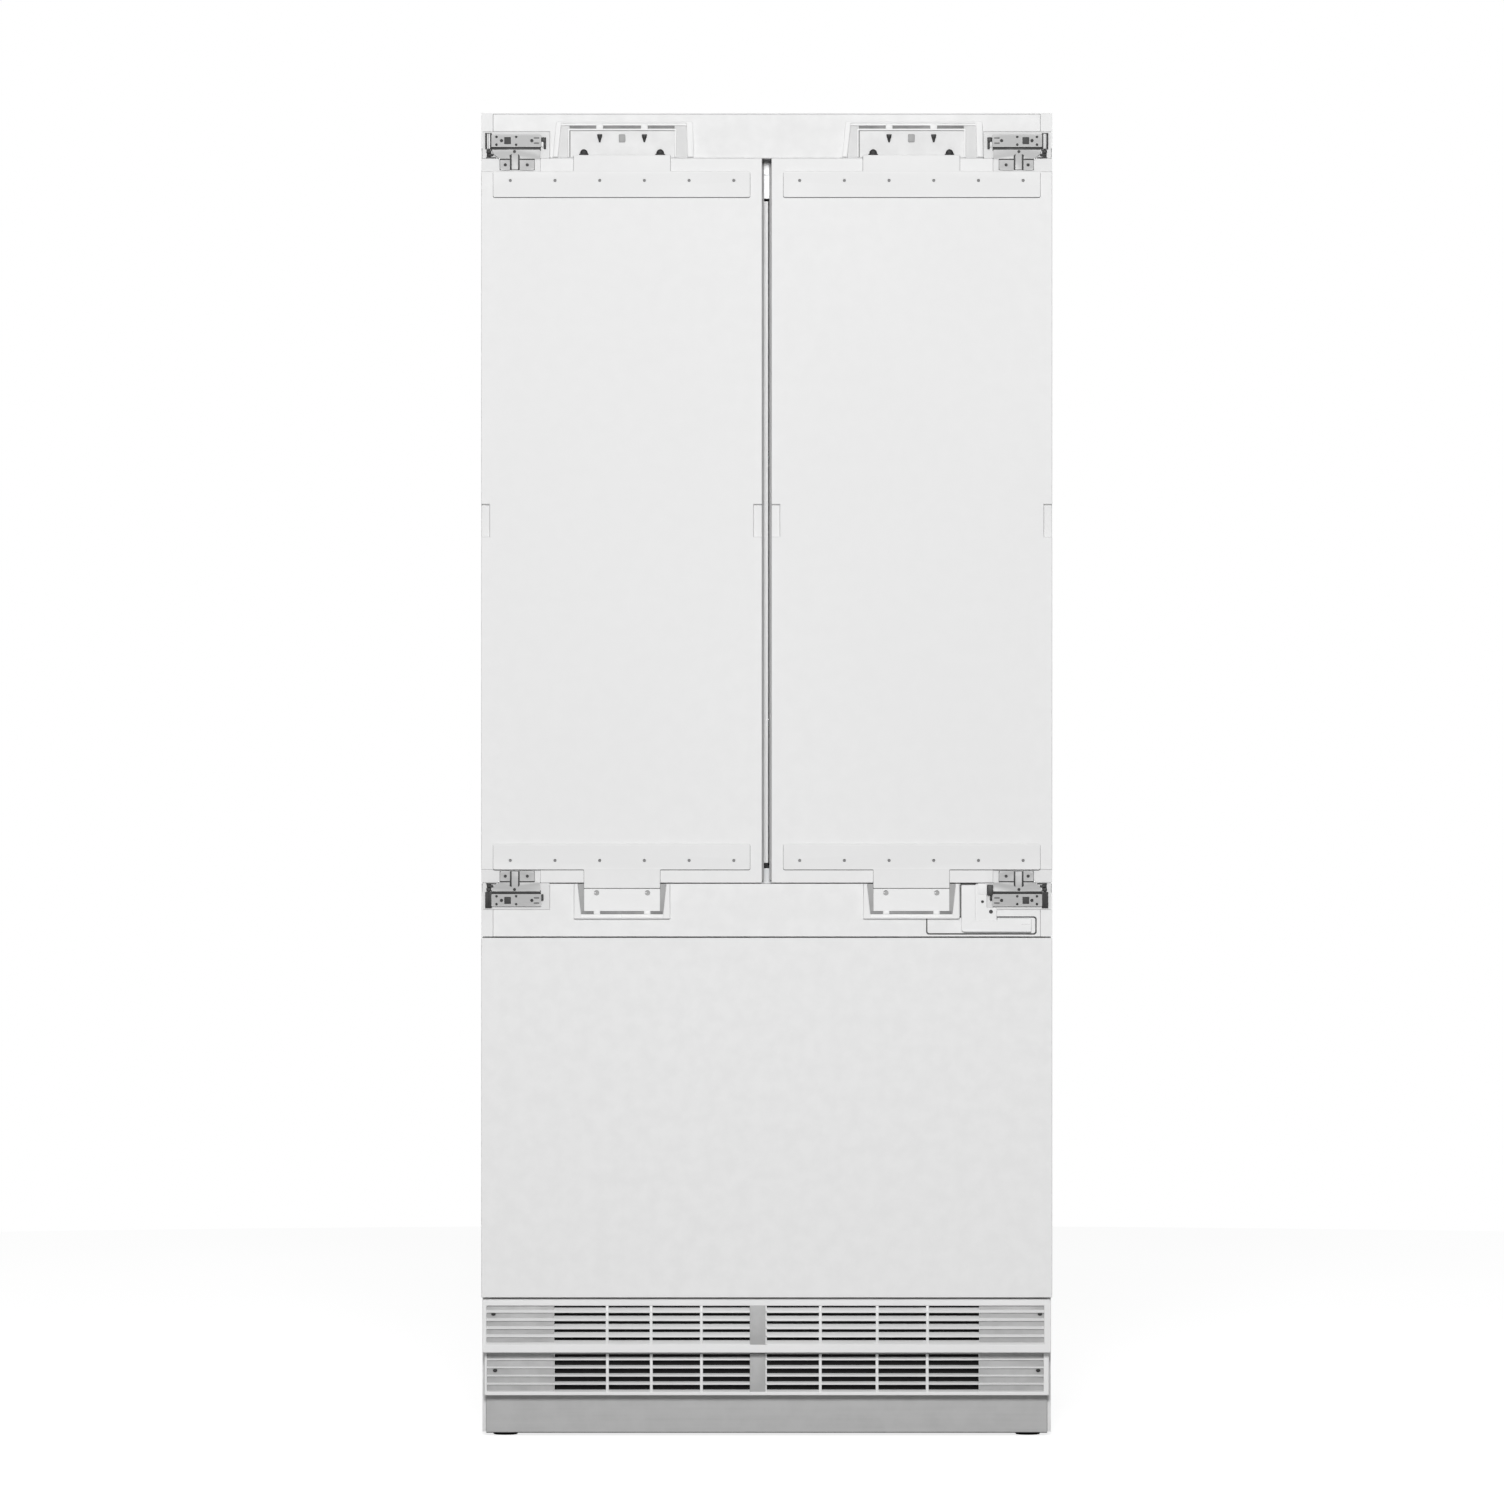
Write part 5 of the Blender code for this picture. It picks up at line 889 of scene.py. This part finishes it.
PLATE_HALF = 0.0603
front, rear = span("bottom_frame_left", "y")
low, high = span("bottom_frame_left", "z")
plate_low, plate_high = low + 0.0120, DOOR_BOTTOM - 0.0094
PLATE_HOLES = ((-0.0405, DOOR_BOTTOM - 0.0160), (0.0405, DOOR_BOTTOM - 0.0160))
for side in SIDES:
    name = f"bottom_frame_{side_name(side)}"
    move = (side * FITTING_CENTRE, 0, 0)
    corners = [
        (-0.0765, high), (-0.0765, low), (0.0765, low), (0.0765, high), (0.0700, high),
        (0.0648, low + 0.0026), (-0.0648, low + 0.0026), (-0.0700, high),
    ]
    outline = fillet(corners, (0.0003, 0.0022, 0.0022, 0.0003, 0.0003, 0.001, 0.001, 0.0003))
    shell = plate(outline, front, rear, edge=0.0007)
    band = block((-0.066, front + 0.0026, low + 0.002), (0.066, rear - 0.0006, low + 0.007), 0.0003)
    ribs = frame_ribs((-0.0310, 0.0, 0.0290), front, low + 0.002, low + 0.0068)
    holes = [circle(x, z, 0.0041, 18) for x, z in PLATE_HOLES]
    face_outline = rectangle(-PLATE_HALF, PLATE_HALF, plate_low, plate_high)
    face = plate(face_outline, rear - 0.0048, rear - 0.0022, holes=holes)
    boss_box = (front + 0.0016, rear - 0.0008, low + 0.006, plate_low + 0.001)
    bosses = [across(x - 0.0052, x + 0.0052, *boss_box, 0.0014) for x in (-0.0400, 0.0400)]
    notches = [
        block((x - 0.0040, rear - 0.0046, z - 0.0009), (x - 0.0012, rear - 0.0022, z + 0.0009), 0.0004)
        for x, z in PLATE_HOLES
    ]
    white = shifted(move, shell, band, *ribs, face, *bosses, *notches)
    piece(f"{name}_shell", white, "fitting_plastic", stands_for=(name,))
    # Painted shade: grey behind the plate in the gaps, and a darker grey in the slot under the plate.
    painted_shade_back = block((-0.0696, rear - 0.0019, low + 0.0065), (0.0696, rear - 0.0007, high), 0.0002)
    piece(f"{name}_shadow", shifted(move, painted_shade_back), "grey_clip_and_painted_shade")
    gap = block((-0.0640, rear - 0.0026, low + 0.0066), (0.0640, rear - 0.0018, plate_low - 0.0002), 0.0002)
    piece(f"{name}_gap", shifted(move, gap), "painted_shade_grey")
print("lower frames from", round(low, 4), "to", round(high, 4), "m")

# %% [markdown]
# ## Hinges
#
# A hinge has a body in the rail and a leaf in the door. Both carry a satin steel plate in front, so
# the drawing is two plates with holes and a black bracket behind them that makes the gaps dark: the
# hinge's dark body, and painted shade in the gaps.
# Places count from the middle of the cabinet, and heights from the door's edge.

# %% Hinge bodies in the rails

PIVOT_X, PIVOT_Y = 0.4445, -0.287
HINGE_SCREWS = [(0.4217, 0.0280, 0.0026), (0.3735, 0.0280, 0.0026)]
HINGE_SCREWS += [(x, h, 0.0020) for x in (0.4297, 0.3984) for h in (0.0215, 0.0340)]
POCKET_FACE = RAIL_FACE + 0.0006


def steel_plate(outline, front, holes=()):
    return plate(outline, front, front + 0.0016, holes=holes, edge=0.0003)


for side, place, corner in CORNERS:
    node = f"hinge_{place}_{side}"
    outline = fillet([(0.3586, 0.0180), (0.4378, 0.0180), (0.4378, 0.0376), (0.3586, 0.0376)], 0.0012)
    window = rectangle(0.40675, 0.41725, 0.0225, 0.0335, 0.0006)
    face = steel_plate(outline, HINGE_FACE, [window, *(circle(x, h, r, 12) for x, h, r in HINGE_SCREWS)])
    piece(f"{node}_plate", at_corner(corner, face), "hinge_plate_steel", stands_for=(node,))
    bars = [
        block((0.4399, HINGE_FACE + 0.0002, 0.0152), (0.4424, HINGE_FACE + 0.004, 0.0392), 0.0008),
        block((0.4428, HINGE_FACE + 0.0010, 0.0152), (0.4446, HINGE_FACE + 0.004, 0.0392), 0.0006),
        # On the upper hinges this small pale bar is a painted highlight.
        block((0.3549, HINGE_FACE + 0.0004, 0.0180), (0.3584, HINGE_FACE + 0.0030, 0.0285), 0.0009),
    ]
    piece(f"{node}_bars", at_corner(corner, *bars), "pale_zinc_and_painted_highlight" if place == "top" else "hinge_shadow_steel")
    marks = [
        plate(pill(0.3660, h, 0.0046, 0.0011), HINGE_FACE - 0.0002, HINGE_FACE + 0.0004, edge=0.0002)
        for h in (0.0322, 0.0240)
    ]
    piece(f"{node}_marks", at_corner(corner, *marks), "hinge_groove")
    # The dark hinge body, pin, catch and lever, with painted shade blocks behind the gaps between the plates.
    black = [
        block((0.3592, HINGE_FACE + 0.0020, 0.0170), (0.4378, -0.266, 0.0370), 0.0006),
        block((0.3592, HINGE_FACE + 0.0030, 0.0120), (0.4385, -0.290, 0.0180), 0.0004),
        block((0.4372, HINGE_FACE + 0.0014, 0.0146), (0.4477, -0.290, 0.0402), 0.0005),
        spun([(0, 0.0005), (0.0026, 0.0005), (0.0026, 0.017), (0, 0.017)], (PIVOT_X, PIVOT_Y, 0), "z", 16),
    ]
    if place == "top":  # the upper hinges have a catch and its lever at their inner end
        rear = HINGE_FACE + 0.003
        black.append(across(0.3507, 0.3584, HINGE_FACE + 0.0002, rear, 0.0255, 0.0334, 0.0010))
        black.append(across(0.3509, 0.3546, HINGE_FACE + 0.0004, rear, 0.0146, 0.0262, 0.0009))
    piece(f"{node}_bracket", at_corner(corner, *black), "hinge_shadow_steel")
    # Painted shade: the rail's pocket round the hinge is a darker copy of the white plastic.
    pocket = plate(rectangle(0.3452, 0.4523, 0.0002, 0.0425, 0.0005), POCKET_FACE, RAIL_FACE + 0.003)
    piece(f"{node}_pocket", at_corner(corner, pocket), "pocket_plastic_painted_shade")
print("hinge plates", round(1000 * (RAIL_FACE - HINGE_FACE), 1), "mm in front of the rails")

# %% [markdown]
# The leaf rides on its door and turns with it. Its plate has a long tongue between two screwed
# tabs, and its links reach back to an eye round the pin. They lie behind the plate, so small
# blocks with round edges are enough to make them read as links.

# %% Hinge leaves on the doors


def leaf_tab(near, far, radii, screw_x):
    """A screwed tab beside the tongue, with one corner cut in a wide curve."""
    corners = [(near, -0.0026), (near, -0.0192), (far, -0.0192), (far, -0.0026)]
    return steel_plate(fillet(corners, radii), HINGE_FACE + 0.0008, [circle(screw_x, -0.0105, 0.0025, 14)])


LEAF_CORNERS = [
    (0.3602, 0.0138), (0.3602, -0.0008), (0.3928, -0.0008), (0.3928, 0.0040), (0.3953, 0.0068),
    (0.3953, -0.0180), (0.4056, -0.0180), (0.4056, 0.0068), (0.4088, 0.0050), (0.4083, -0.0008),
    (0.4250, -0.0008), (0.4345, 0.0066), (0.4375, 0.0138),
]
LEAF_RADII = [0.0008, 0.001, 0.0004, 0.0004, 0.0004, 0.0006, 0.0006, 0.0004, 0.0004, 0.0004, *[0.001] * 3]
EYE_PROFILE = [
    (0.0031, 0.0016), (0.0048, 0.0016), (0.0050, 0.0026), (0.0050, 0.0128), (0.0048, 0.0138),
    (0.0031, 0.0138), (0.0031, 0.0016),
]
for side, place, corner in CORNERS:
    node, door = f"leaf_{place}_{side}", f"{side}_door"
    face = steel_plate(fillet(LEAF_CORNERS, LEAF_RADII, 3), HINGE_FACE, [circle(0.4010, 0.0106, 0.0024, 14)])
    outer_tab = leaf_tab(0.4083, 0.4240, (0.0005, 0.0008, 0.0042, 0.0005), 0.4157)
    inner_tab = leaf_tab(0.3695, 0.3928, (0.0005, 0.0042, 0.0008, 0.0005), 0.3807)
    piece(f"{node}_plate", at_corner(corner, face, outer_tab, inner_tab), "hinge_plate_steel", door, (node,))
    # Painted highlight: a small bright block for a white glint on the leaf.
    painted_highlight_spot = block((0.4246, HINGE_FACE + 0.0004, -0.0026), (0.4266, HINGE_FACE + 0.0018, 0.0006), 0.0006)
    piece(f"{node}_spring", at_corner(corner, painted_highlight_spot), "painted_highlight_metal", door)
    links = [
        block((0.3690, HINGE_FACE + 0.0019, -0.0186), (0.4246, HINGE_FACE + 0.0050, 0.0070), 0.0005),
        block((0.3800, HINGE_FACE + 0.0018, 0.0075), (0.4290, HINGE_FACE + 0.0030, 0.0130), 0.0004),
        block((0.4378, HINGE_FACE + 0.0040, 0.0020), (0.4455, PIVOT_Y + 0.0030, 0.0125), 0.0010),
        spun(EYE_PROFILE, (PIVOT_X, PIVOT_Y, 0), "z", 20),
        block((0.4386, HINGE_FACE + 0.0004, 0.0078), (0.4458, -0.292, 0.0140), 0.0018),
        block((0.4344, HINGE_FACE + 0.0006, 0.0036), (0.4436, -0.293, 0.0072), 0.0012),
        block((0.4300, HINGE_FACE + 0.0010, 0.0006), (0.4462, -0.294, 0.0018), 0.0005),
    ]
    piece(f"{node}_links", at_corner(corner, *links), "hinge_shadow_steel", door)
    # Painted shade: the door's pocket under the leaf is a darker copy of the door paint.
    hollow = rectangle(0.3601, 0.4538, -0.0209, -0.0002, 0.0004)
    pocket = plate(hollow, DOOR_FACE + 0.0018, DOOR_FACE + 0.0096, edge=0.0003)
    piece(f"{node}_pocket", at_corner(corner, pocket), "pocket_paint_painted_shade", door)
print(len(CORNERS), "hinges turn at x", PIVOT_X, "y", PIVOT_Y)

# %% [markdown]
# A pale strip lies in the gap between the doors' top edges and the rail, so that the gap reads as a
# soft step there and not as a black line.

# %% The pale strip above the doors

low = (-0.3440, DOOR_FACE + 0.0004, DOOR_TOP + 0.0001)
high = (0.3440, RAIL_FACE + 0.0040, TOP_RAIL_BOTTOM - 0.0001)
piece("top_gap_seal", [block(low, high, 0.0003)], "rail_plastic")
print("gap above the doors", round(1000 * (TOP_RAIL_BOTTOM - DOOR_TOP), 1), "mm")

# %% [markdown]
# ## Harness cover
#
# Beside the lower right hinge an L-shaped cover hides the wires that go into the door. It seems to
# lie in a shallow recess of the rail with round corners, drawn here only as a thin dark ring of
# painted shade along the recess's edge.

# %% The harness cover and the ring around it

front, rear = span("harness_cover", "y")[0], RAIL_FACE - 0.0007
corners = [
    (0.3093, 0.8805), (0.3093, 0.8060), (0.4205, 0.8060), (0.4205, 0.8278), (0.3660, 0.8278),
    (0.3660, 0.8240), (0.3318, 0.8240), (0.3318, 0.8805),
]
outline = fillet(corners, (0.002, 0.006, 0.002, 0.002, 0.0008, 0.0008, 0.004, 0.002))
cover = plate(outline, front, rear, edge=0.0010, edge_steps=3)
corners = [
    (0.3312, 0.8235), (0.3655, 0.8235), (0.3655, 0.8445), (0.3500, 0.8445), (0.3490, 0.8810),
    (0.3312, 0.8810),
]
holes = [circle(0.3430, 0.8540, 0.0023, 16), circle(0.3565, 0.8380, 0.0031, 16)]
inner = plate(fillet(corners, 0.0008), front + 0.0016, rear, holes=holes, edge=0.0005)
plug = block((0.3355, front + 0.0006, 0.8655), (0.3500, rear - 0.0005, 0.8832), 0.0010)
piece("harness_cover_shell", [cover, inner, plug], "fitting_plastic", "right_door", ("harness_cover",))
dark = [
    plate(circle(0.3430, 0.8540, 0.0024, 14), rear - 0.0012, rear - 0.0002),
    plate(circle(0.3565, 0.8380, 0.0032, 14), rear - 0.0012, rear - 0.0002),
    block((0.3505, front + 0.0010, 0.8645), (0.3597, rear - 0.0002, 0.8810), 0.0012),
    plate(rectangle(0.3076, 0.3330, 0.8290, 0.8828, 0.002), rear - 0.0008, rear),
    block((0.4050, front, 0.8176), (0.4190, front + 0.001, 0.8184), 0.0003),
]
piece("harness_cover_dark", dark, "black_moulding", "right_door")
# Painted shade: a thin dark ring on the rail marks the edge of the recess.
ring_hole = rectangle(0.2555, 0.4271, 0.8039, 0.8286, 0.0032, 5)
ring_outline = rectangle(0.2535, 0.4293, 0.8016, 0.8306, 0.0046, 5)
ring_depth = (RAIL_FACE - 0.0004, RAIL_FACE + 0.0004)
ring = plate(ring_outline, *ring_depth, holes=[ring_hole], edge=0.0001, edge_steps=1)
piece("harness_recess_painted_shade", [ring], "black_moulding")
print("harness cover stands", round(1000 * (RAIL_FACE - front), 1), "mm proud of the rail")

# %% [markdown]
# ## Grilles
#
# Each grille is a frame round five rows of louvres. One louvre is a short lip in front and a blade
# that climbs behind it: its section is a small polygon, and `plate` stretches it along X. A black
# pad behind the blades is painted shade that makes the gaps dark, and the ends and the middle are
# closed by grey panels.

# %% What a grille is made of

FIELD = (-0.4460, 0.4415)
VENT_HALF = 0.3385
CENTRE_PANEL = (-0.0268, -0.0020)
RIBS = (-0.254, -0.184, -0.104, 0.0855, 0.176, 0.256)
RIB_HALF = 0.00225
LOUVRES, LOUVRE_PITCH = 5, 0.013


def louvre(face, z, rise, lip):
    """A lip and the blade that climbs behind it, stretched along X. z is where they meet."""
    section = [
        (0.0, -lip), (0.0, 0.0), (0.0070, rise), (0.0082, rise), (0.0082, rise - 0.0014), (0.0014, -0.0009),
        (0.0012, -lip),
    ]
    blade = fillet(np.array(section) + (face + 0.0012, z), 0.0003, 2)
    return plate(blade, FIELD[0] - 0.001, FIELD[1] + 0.001, axis="x", edge=0.0002, edge_steps=1)


def grille_frame(node, opening):
    """The flat front round an opening, and the walls behind it."""
    face, rear = span(node, "y")
    low_x, high_x = span(node, "x")
    low_z, high_z = span(node, "z")
    outer = rectangle(low_x, high_x, low_z, high_z, 0.0022)
    inner = rectangle(low_x + 0.003, high_x - 0.003, low_z + 0.0028, high_z - 0.0028, 0.001)
    holes = [rectangle(*FIELD, *opening, 0.0015)]
    front = plate(outer, face, face + 0.0045, holes=holes, edge=0.0010, edge_steps=3)
    walls = plate(inset(anticlockwise(outer), 0.0002), face + 0.003, rear, holes=[inner], edge=0.0003)
    return [front, walls]


print("louvre pitch", LOUVRE_PITCH)

# %% [markdown]
# The two grilles differ only in their levels and in how far a blade climbs, so both come out of one
# loop. The upper one has a lip above its first gap too.

# %% The louvred grilles

DOME_PROFILE = [(0, -0.0014), (0.0022, -0.0010), (0.0034, 0), (0.0034, 0.0035), (0, 0.0035)]
GRILLES = {
    "upper_grille": {"blades": 0.2016, "rise": 0.0057, "lip": 0.0023, "opening": (0.1488, 0.2107),
                     "screw": (0.4350, 0.1975)},
    "lower_grille": {"blades": 0.1240, "rise": 0.0031, "lip": 0.0018, "opening": (0.0722, 0.1347),
                     "screw": (0.4330, 0.1060)},
}
for node, size in GRILLES.items():
    face = span(node, "y")[0]
    low_z, high_z = span(node, "z")
    low, high = size["opening"]
    shapes = grille_frame(node, size["opening"])
    if node == "upper_grille":
        shapes.append(across(*FIELD, face + 0.0002, face + 0.003, high - 0.0001, high + 0.0022, 0.0009))
    levels = [size["blades"] - row * LOUVRE_PITCH for row in range(LOUVRES)]
    shapes += [louvre(face, z, size["rise"], size["lip"]) for z in levels]
    shapes += [
        across(x - RIB_HALF, x + RIB_HALF, face + 0.0020, face + 0.011, low - 0.001, high + 0.001, 0.0004)
        for x in RIBS
    ]
    near, far = CENTRE_PANEL[1] - 0.0002, CENTRE_PANEL[1] + 0.0022
    shapes.append(across(near, far, face + 0.0012, face + 0.011, low - 0.001, high + 0.001, 0.0005))
    piece(f"{node}_louvres", shapes, "louvre_plastic", stands_for=(node,), sharp=50)
    # Painted shade: a black pad behind the blades darkens the gaps.
    pad = across(-VENT_HALF, VENT_HALF, face + 0.0150, face + 0.0165, low_z + 0.003, high_z - 0.003, 0.0004)
    piece(f"{node}_pad", [pad], "painted_shade_pad")
    ends = ((FIELD[0], -VENT_HALF), (VENT_HALF, FIELD[1]))
    panels = [across(*end, face + 0.0042, face + 0.0056, low - 0.001, high + 0.001, 0.0003) for end in ends]
    panels.append(across(*CENTRE_PANEL, face + 0.0006, face + 0.0060, low - 0.0008, high + 0.0004, 0.0004))
    piece(f"{node}_panels", panels, "panel_grey")
    dome = spun(DOME_PROFILE, (0, 0, 0), "y", 18)
    screw_x, screw_z = size["screw"]
    oval = np.diag([1.05, 1.0, 0.75])
    screws = [placed(dome, oval, (side * screw_x, face + 0.0018, screw_z)) for side in SIDES]
    piece(f"{node}_screws", screws, "hinge_shadow_steel")
    # Painted shade: a black strip in the first gap.
    gap_levels = (high - 0.0030, high + 0.0002)
    first_gap = across(-VENT_HALF, VENT_HALF, face + 0.0098, face + 0.0120, *gap_levels, 0.0002)
    piece(f"{node}_top_gap", [first_gap], "painted_shade_pad")
    print(node, "louvres at", np.round(levels, 4))

# %% [markdown]
# The gap under the drawer and the foot of the kick plate each read as a fine black line. A thin black
# strip in each is painted shade, and pale strips cover the case's front edges by the grilles.

# %% Strips and edge trims below the drawer

grille_face, grille_top = span("upper_grille", "y")[0], span("upper_grille", "z")[1]
kick_face, kick_low = span("kick_plate", "y")[0], span("kick_plate", "z")[0]
gap = (grille_top + 0.0001, DRAWER_BOTTOM - 0.0002)
# Painted shade: black strips in the gap under the drawer and under the kick plate.
drawer_gap_painted_shade = across(-0.4370, 0.4370, grille_face + 0.0004, grille_face + 0.006, *gap, 0.0003)
foot = (kick_low - 0.0012, kick_low + 0.0002)
kick_foot_painted_shade = across(-0.4478, 0.4478, kick_face + 0.0002, kick_face + 0.0040, *foot, 0.0003)
piece("painted_shade_strips", [drawer_gap_painted_shade, kick_foot_painted_shade], "black_moulding")
trim_levels = (kick_low + 0.0004, DRAWER_BOTTOM - 0.003)
trims = [
    across(side * 0.4482, side * 0.4538, CABINET_FACE - 0.0016, CABINET_FACE - 0.0002, *trim_levels, 0.0004)
    for side in SIDES
]
piece("case_edge_trims", trims, "fitting_plastic")
print("gap under the drawer", round(1000 * (DRAWER_BOTTOM - grille_top), 1), "mm")

# %% [markdown]
# ## Floor, light and camera
#
# The floor is a pale disc, wide enough that its rim stays out of the picture. It only has to catch a
# soft shadow and stay white, so it glows a little, but to the camera alone: a glow that also lit the
# cabinet would wash out the shadows under it.

# %% The floor

FLOOR_REACH = 6.0
FLOOR_GLOW = 0.80


def floor_look():
    """Pale and matt. It glows a little to the camera, so that it stays white right up to the plinth."""
    material = bpy.data.materials.new("studio_floor")
    material.use_nodes = True
    tree = material.node_tree
    shader = tree.nodes["Principled BSDF"]
    cloudy = place_group(tree, "cloudy", Scale=0.6)
    pale = blend_colours(tree, cloudy.outputs["Value"], 0.60, 0.63)
    tree.links.new(pale, shader.inputs["Base Color"])
    shader.inputs["Roughness"].default_value = 0.9
    shader.inputs["Specular IOR Level"].default_value = 0.0
    shader.inputs["Emission Color"].default_value = (1.0, 1.0, 1.0, 1.0)
    seen = tree.nodes.new("ShaderNodeLightPath").outputs["Is Camera Ray"]
    tree.links.new(remap(tree, seen, 0.0, 1.0, 0.0, FLOOR_GLOW), shader.inputs["Emission Strength"])
    return material


turn = np.linspace(0, 2 * np.pi, 96, endpoint=False)
floor_points = FLOOR_REACH * np.stack([np.cos(turn), np.sin(turn), 0 * turn], axis=-1)
floor_mesh = bpy.data.meshes.new("studio_floor")
floor_mesh.from_pydata(floor_points.tolist(), [], [tuple(range(len(turn)))])
floor_mesh.materials.append(floor_look())
floor = bpy.data.objects.new("studio_floor", floor_mesh)
bpy.context.scene.collection.objects.link(floor)
floor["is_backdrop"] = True
print("floor", 2 * FLOOR_REACH, "m across")

# %% [markdown]
# A white appliance on white is shown by soft, even light from the front, a little brighter from
# above, so the doors come out light grey and the floor and the room behind them white. The room is
# the world itself: full white to the camera, and dimmer as a light.

# %% Soft light and the white room

ROOM_LIGHT = 0.24
KEY_WATTS, ABOVE_WATTS = 375, 12
KEY_PLACE, KEY_AIM, KEY_SIZE = (-0.1, -7.8, 3.0), (0, 0, 1.1), 1.4
ABOVE_PLACE, ABOVE_AIM, ABOVE_SIZE = (0.0, -2.2, 5.0), (0, -1.2, 0), 5.0


def soft_light(name, place, aim, size, watts):
    """A square soft box at a place, turned to an aim."""
    data = bpy.data.lights.new(name, "AREA")
    data.size = size
    data.energy = watts
    lamp = bpy.data.objects.new(name, data)
    lamp.location = place
    way = Vector(aim) - Vector(place)
    lamp.rotation_euler = way.to_track_quat("-Z", "Y").to_euler()
    bpy.context.scene.collection.objects.link(lamp)


def studio_world():
    """A white room: the camera sees it full white, and it lights the piece a little less."""
    made = bpy.data.worlds.new("studio")
    made.use_nodes = True
    tree = made.node_tree
    background = tree.nodes["Background"]
    seen = tree.nodes.new("ShaderNodeLightPath").outputs["Is Camera Ray"]
    tree.links.new(remap(tree, seen, 0.0, 1.0, ROOM_LIGHT, 1.0), background.inputs["Strength"])
    background.inputs["Color"].default_value = (1.0, 1.0, 1.0, 1.0)
    return made


soft_light("soft_box_key", KEY_PLACE, KEY_AIM, KEY_SIZE, KEY_WATTS)
soft_light("soft_box_above", ABOVE_PLACE, ABOVE_AIM, ABOVE_SIZE, ABOVE_WATTS)
bpy.context.scene.world = studio_world()
bpy.context.scene.view_settings.view_transform = "Standard"
print("soft boxes of", KEY_WATTS, "and", ABOVE_WATTS, "watts")

# %% [markdown]
# ## Camera
#
# The camera stands far back, level with the middle of the cabinet, so the front stays almost free of
# perspective. Its lens follows from its distance and from how much of the scene the picture takes in:
# sensor width times distance, over the width of the scene at that distance.

# %% Camera

CAMERA_DISTANCE = 14.0
PICTURE_WIDTH = 2.3915  # metres across the picture, at the doors' face
CAMERA_SIDE = -0.0234
CAMERA_HEIGHT = 1.092
SENSOR = 36.0
camera_data = bpy.data.cameras.new("camera")
camera_data.sensor_width = SENSOR
camera_data.lens = SENSOR * CAMERA_DISTANCE / PICTURE_WIDTH
camera = bpy.data.objects.new("camera", camera_data)
camera.location = (CAMERA_SIDE, DOOR_FACE - CAMERA_DISTANCE, CAMERA_HEIGHT)
camera.rotation_euler = (math.pi / 2, 0, 0)
bpy.context.scene.collection.objects.link(camera)
bpy.context.scene.camera = camera
print("lens", round(camera_data.lens, 1), "mm")

# %% [markdown]
# ## The box round what shows
#
# The box round everything that shows should be the box of the CAD model, or else some piece sticks
# out.

# %% Print the box round what shows

low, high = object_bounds()
print("visual box in mm:", [round(1000 * value, 1) for value in (*low, *high)])
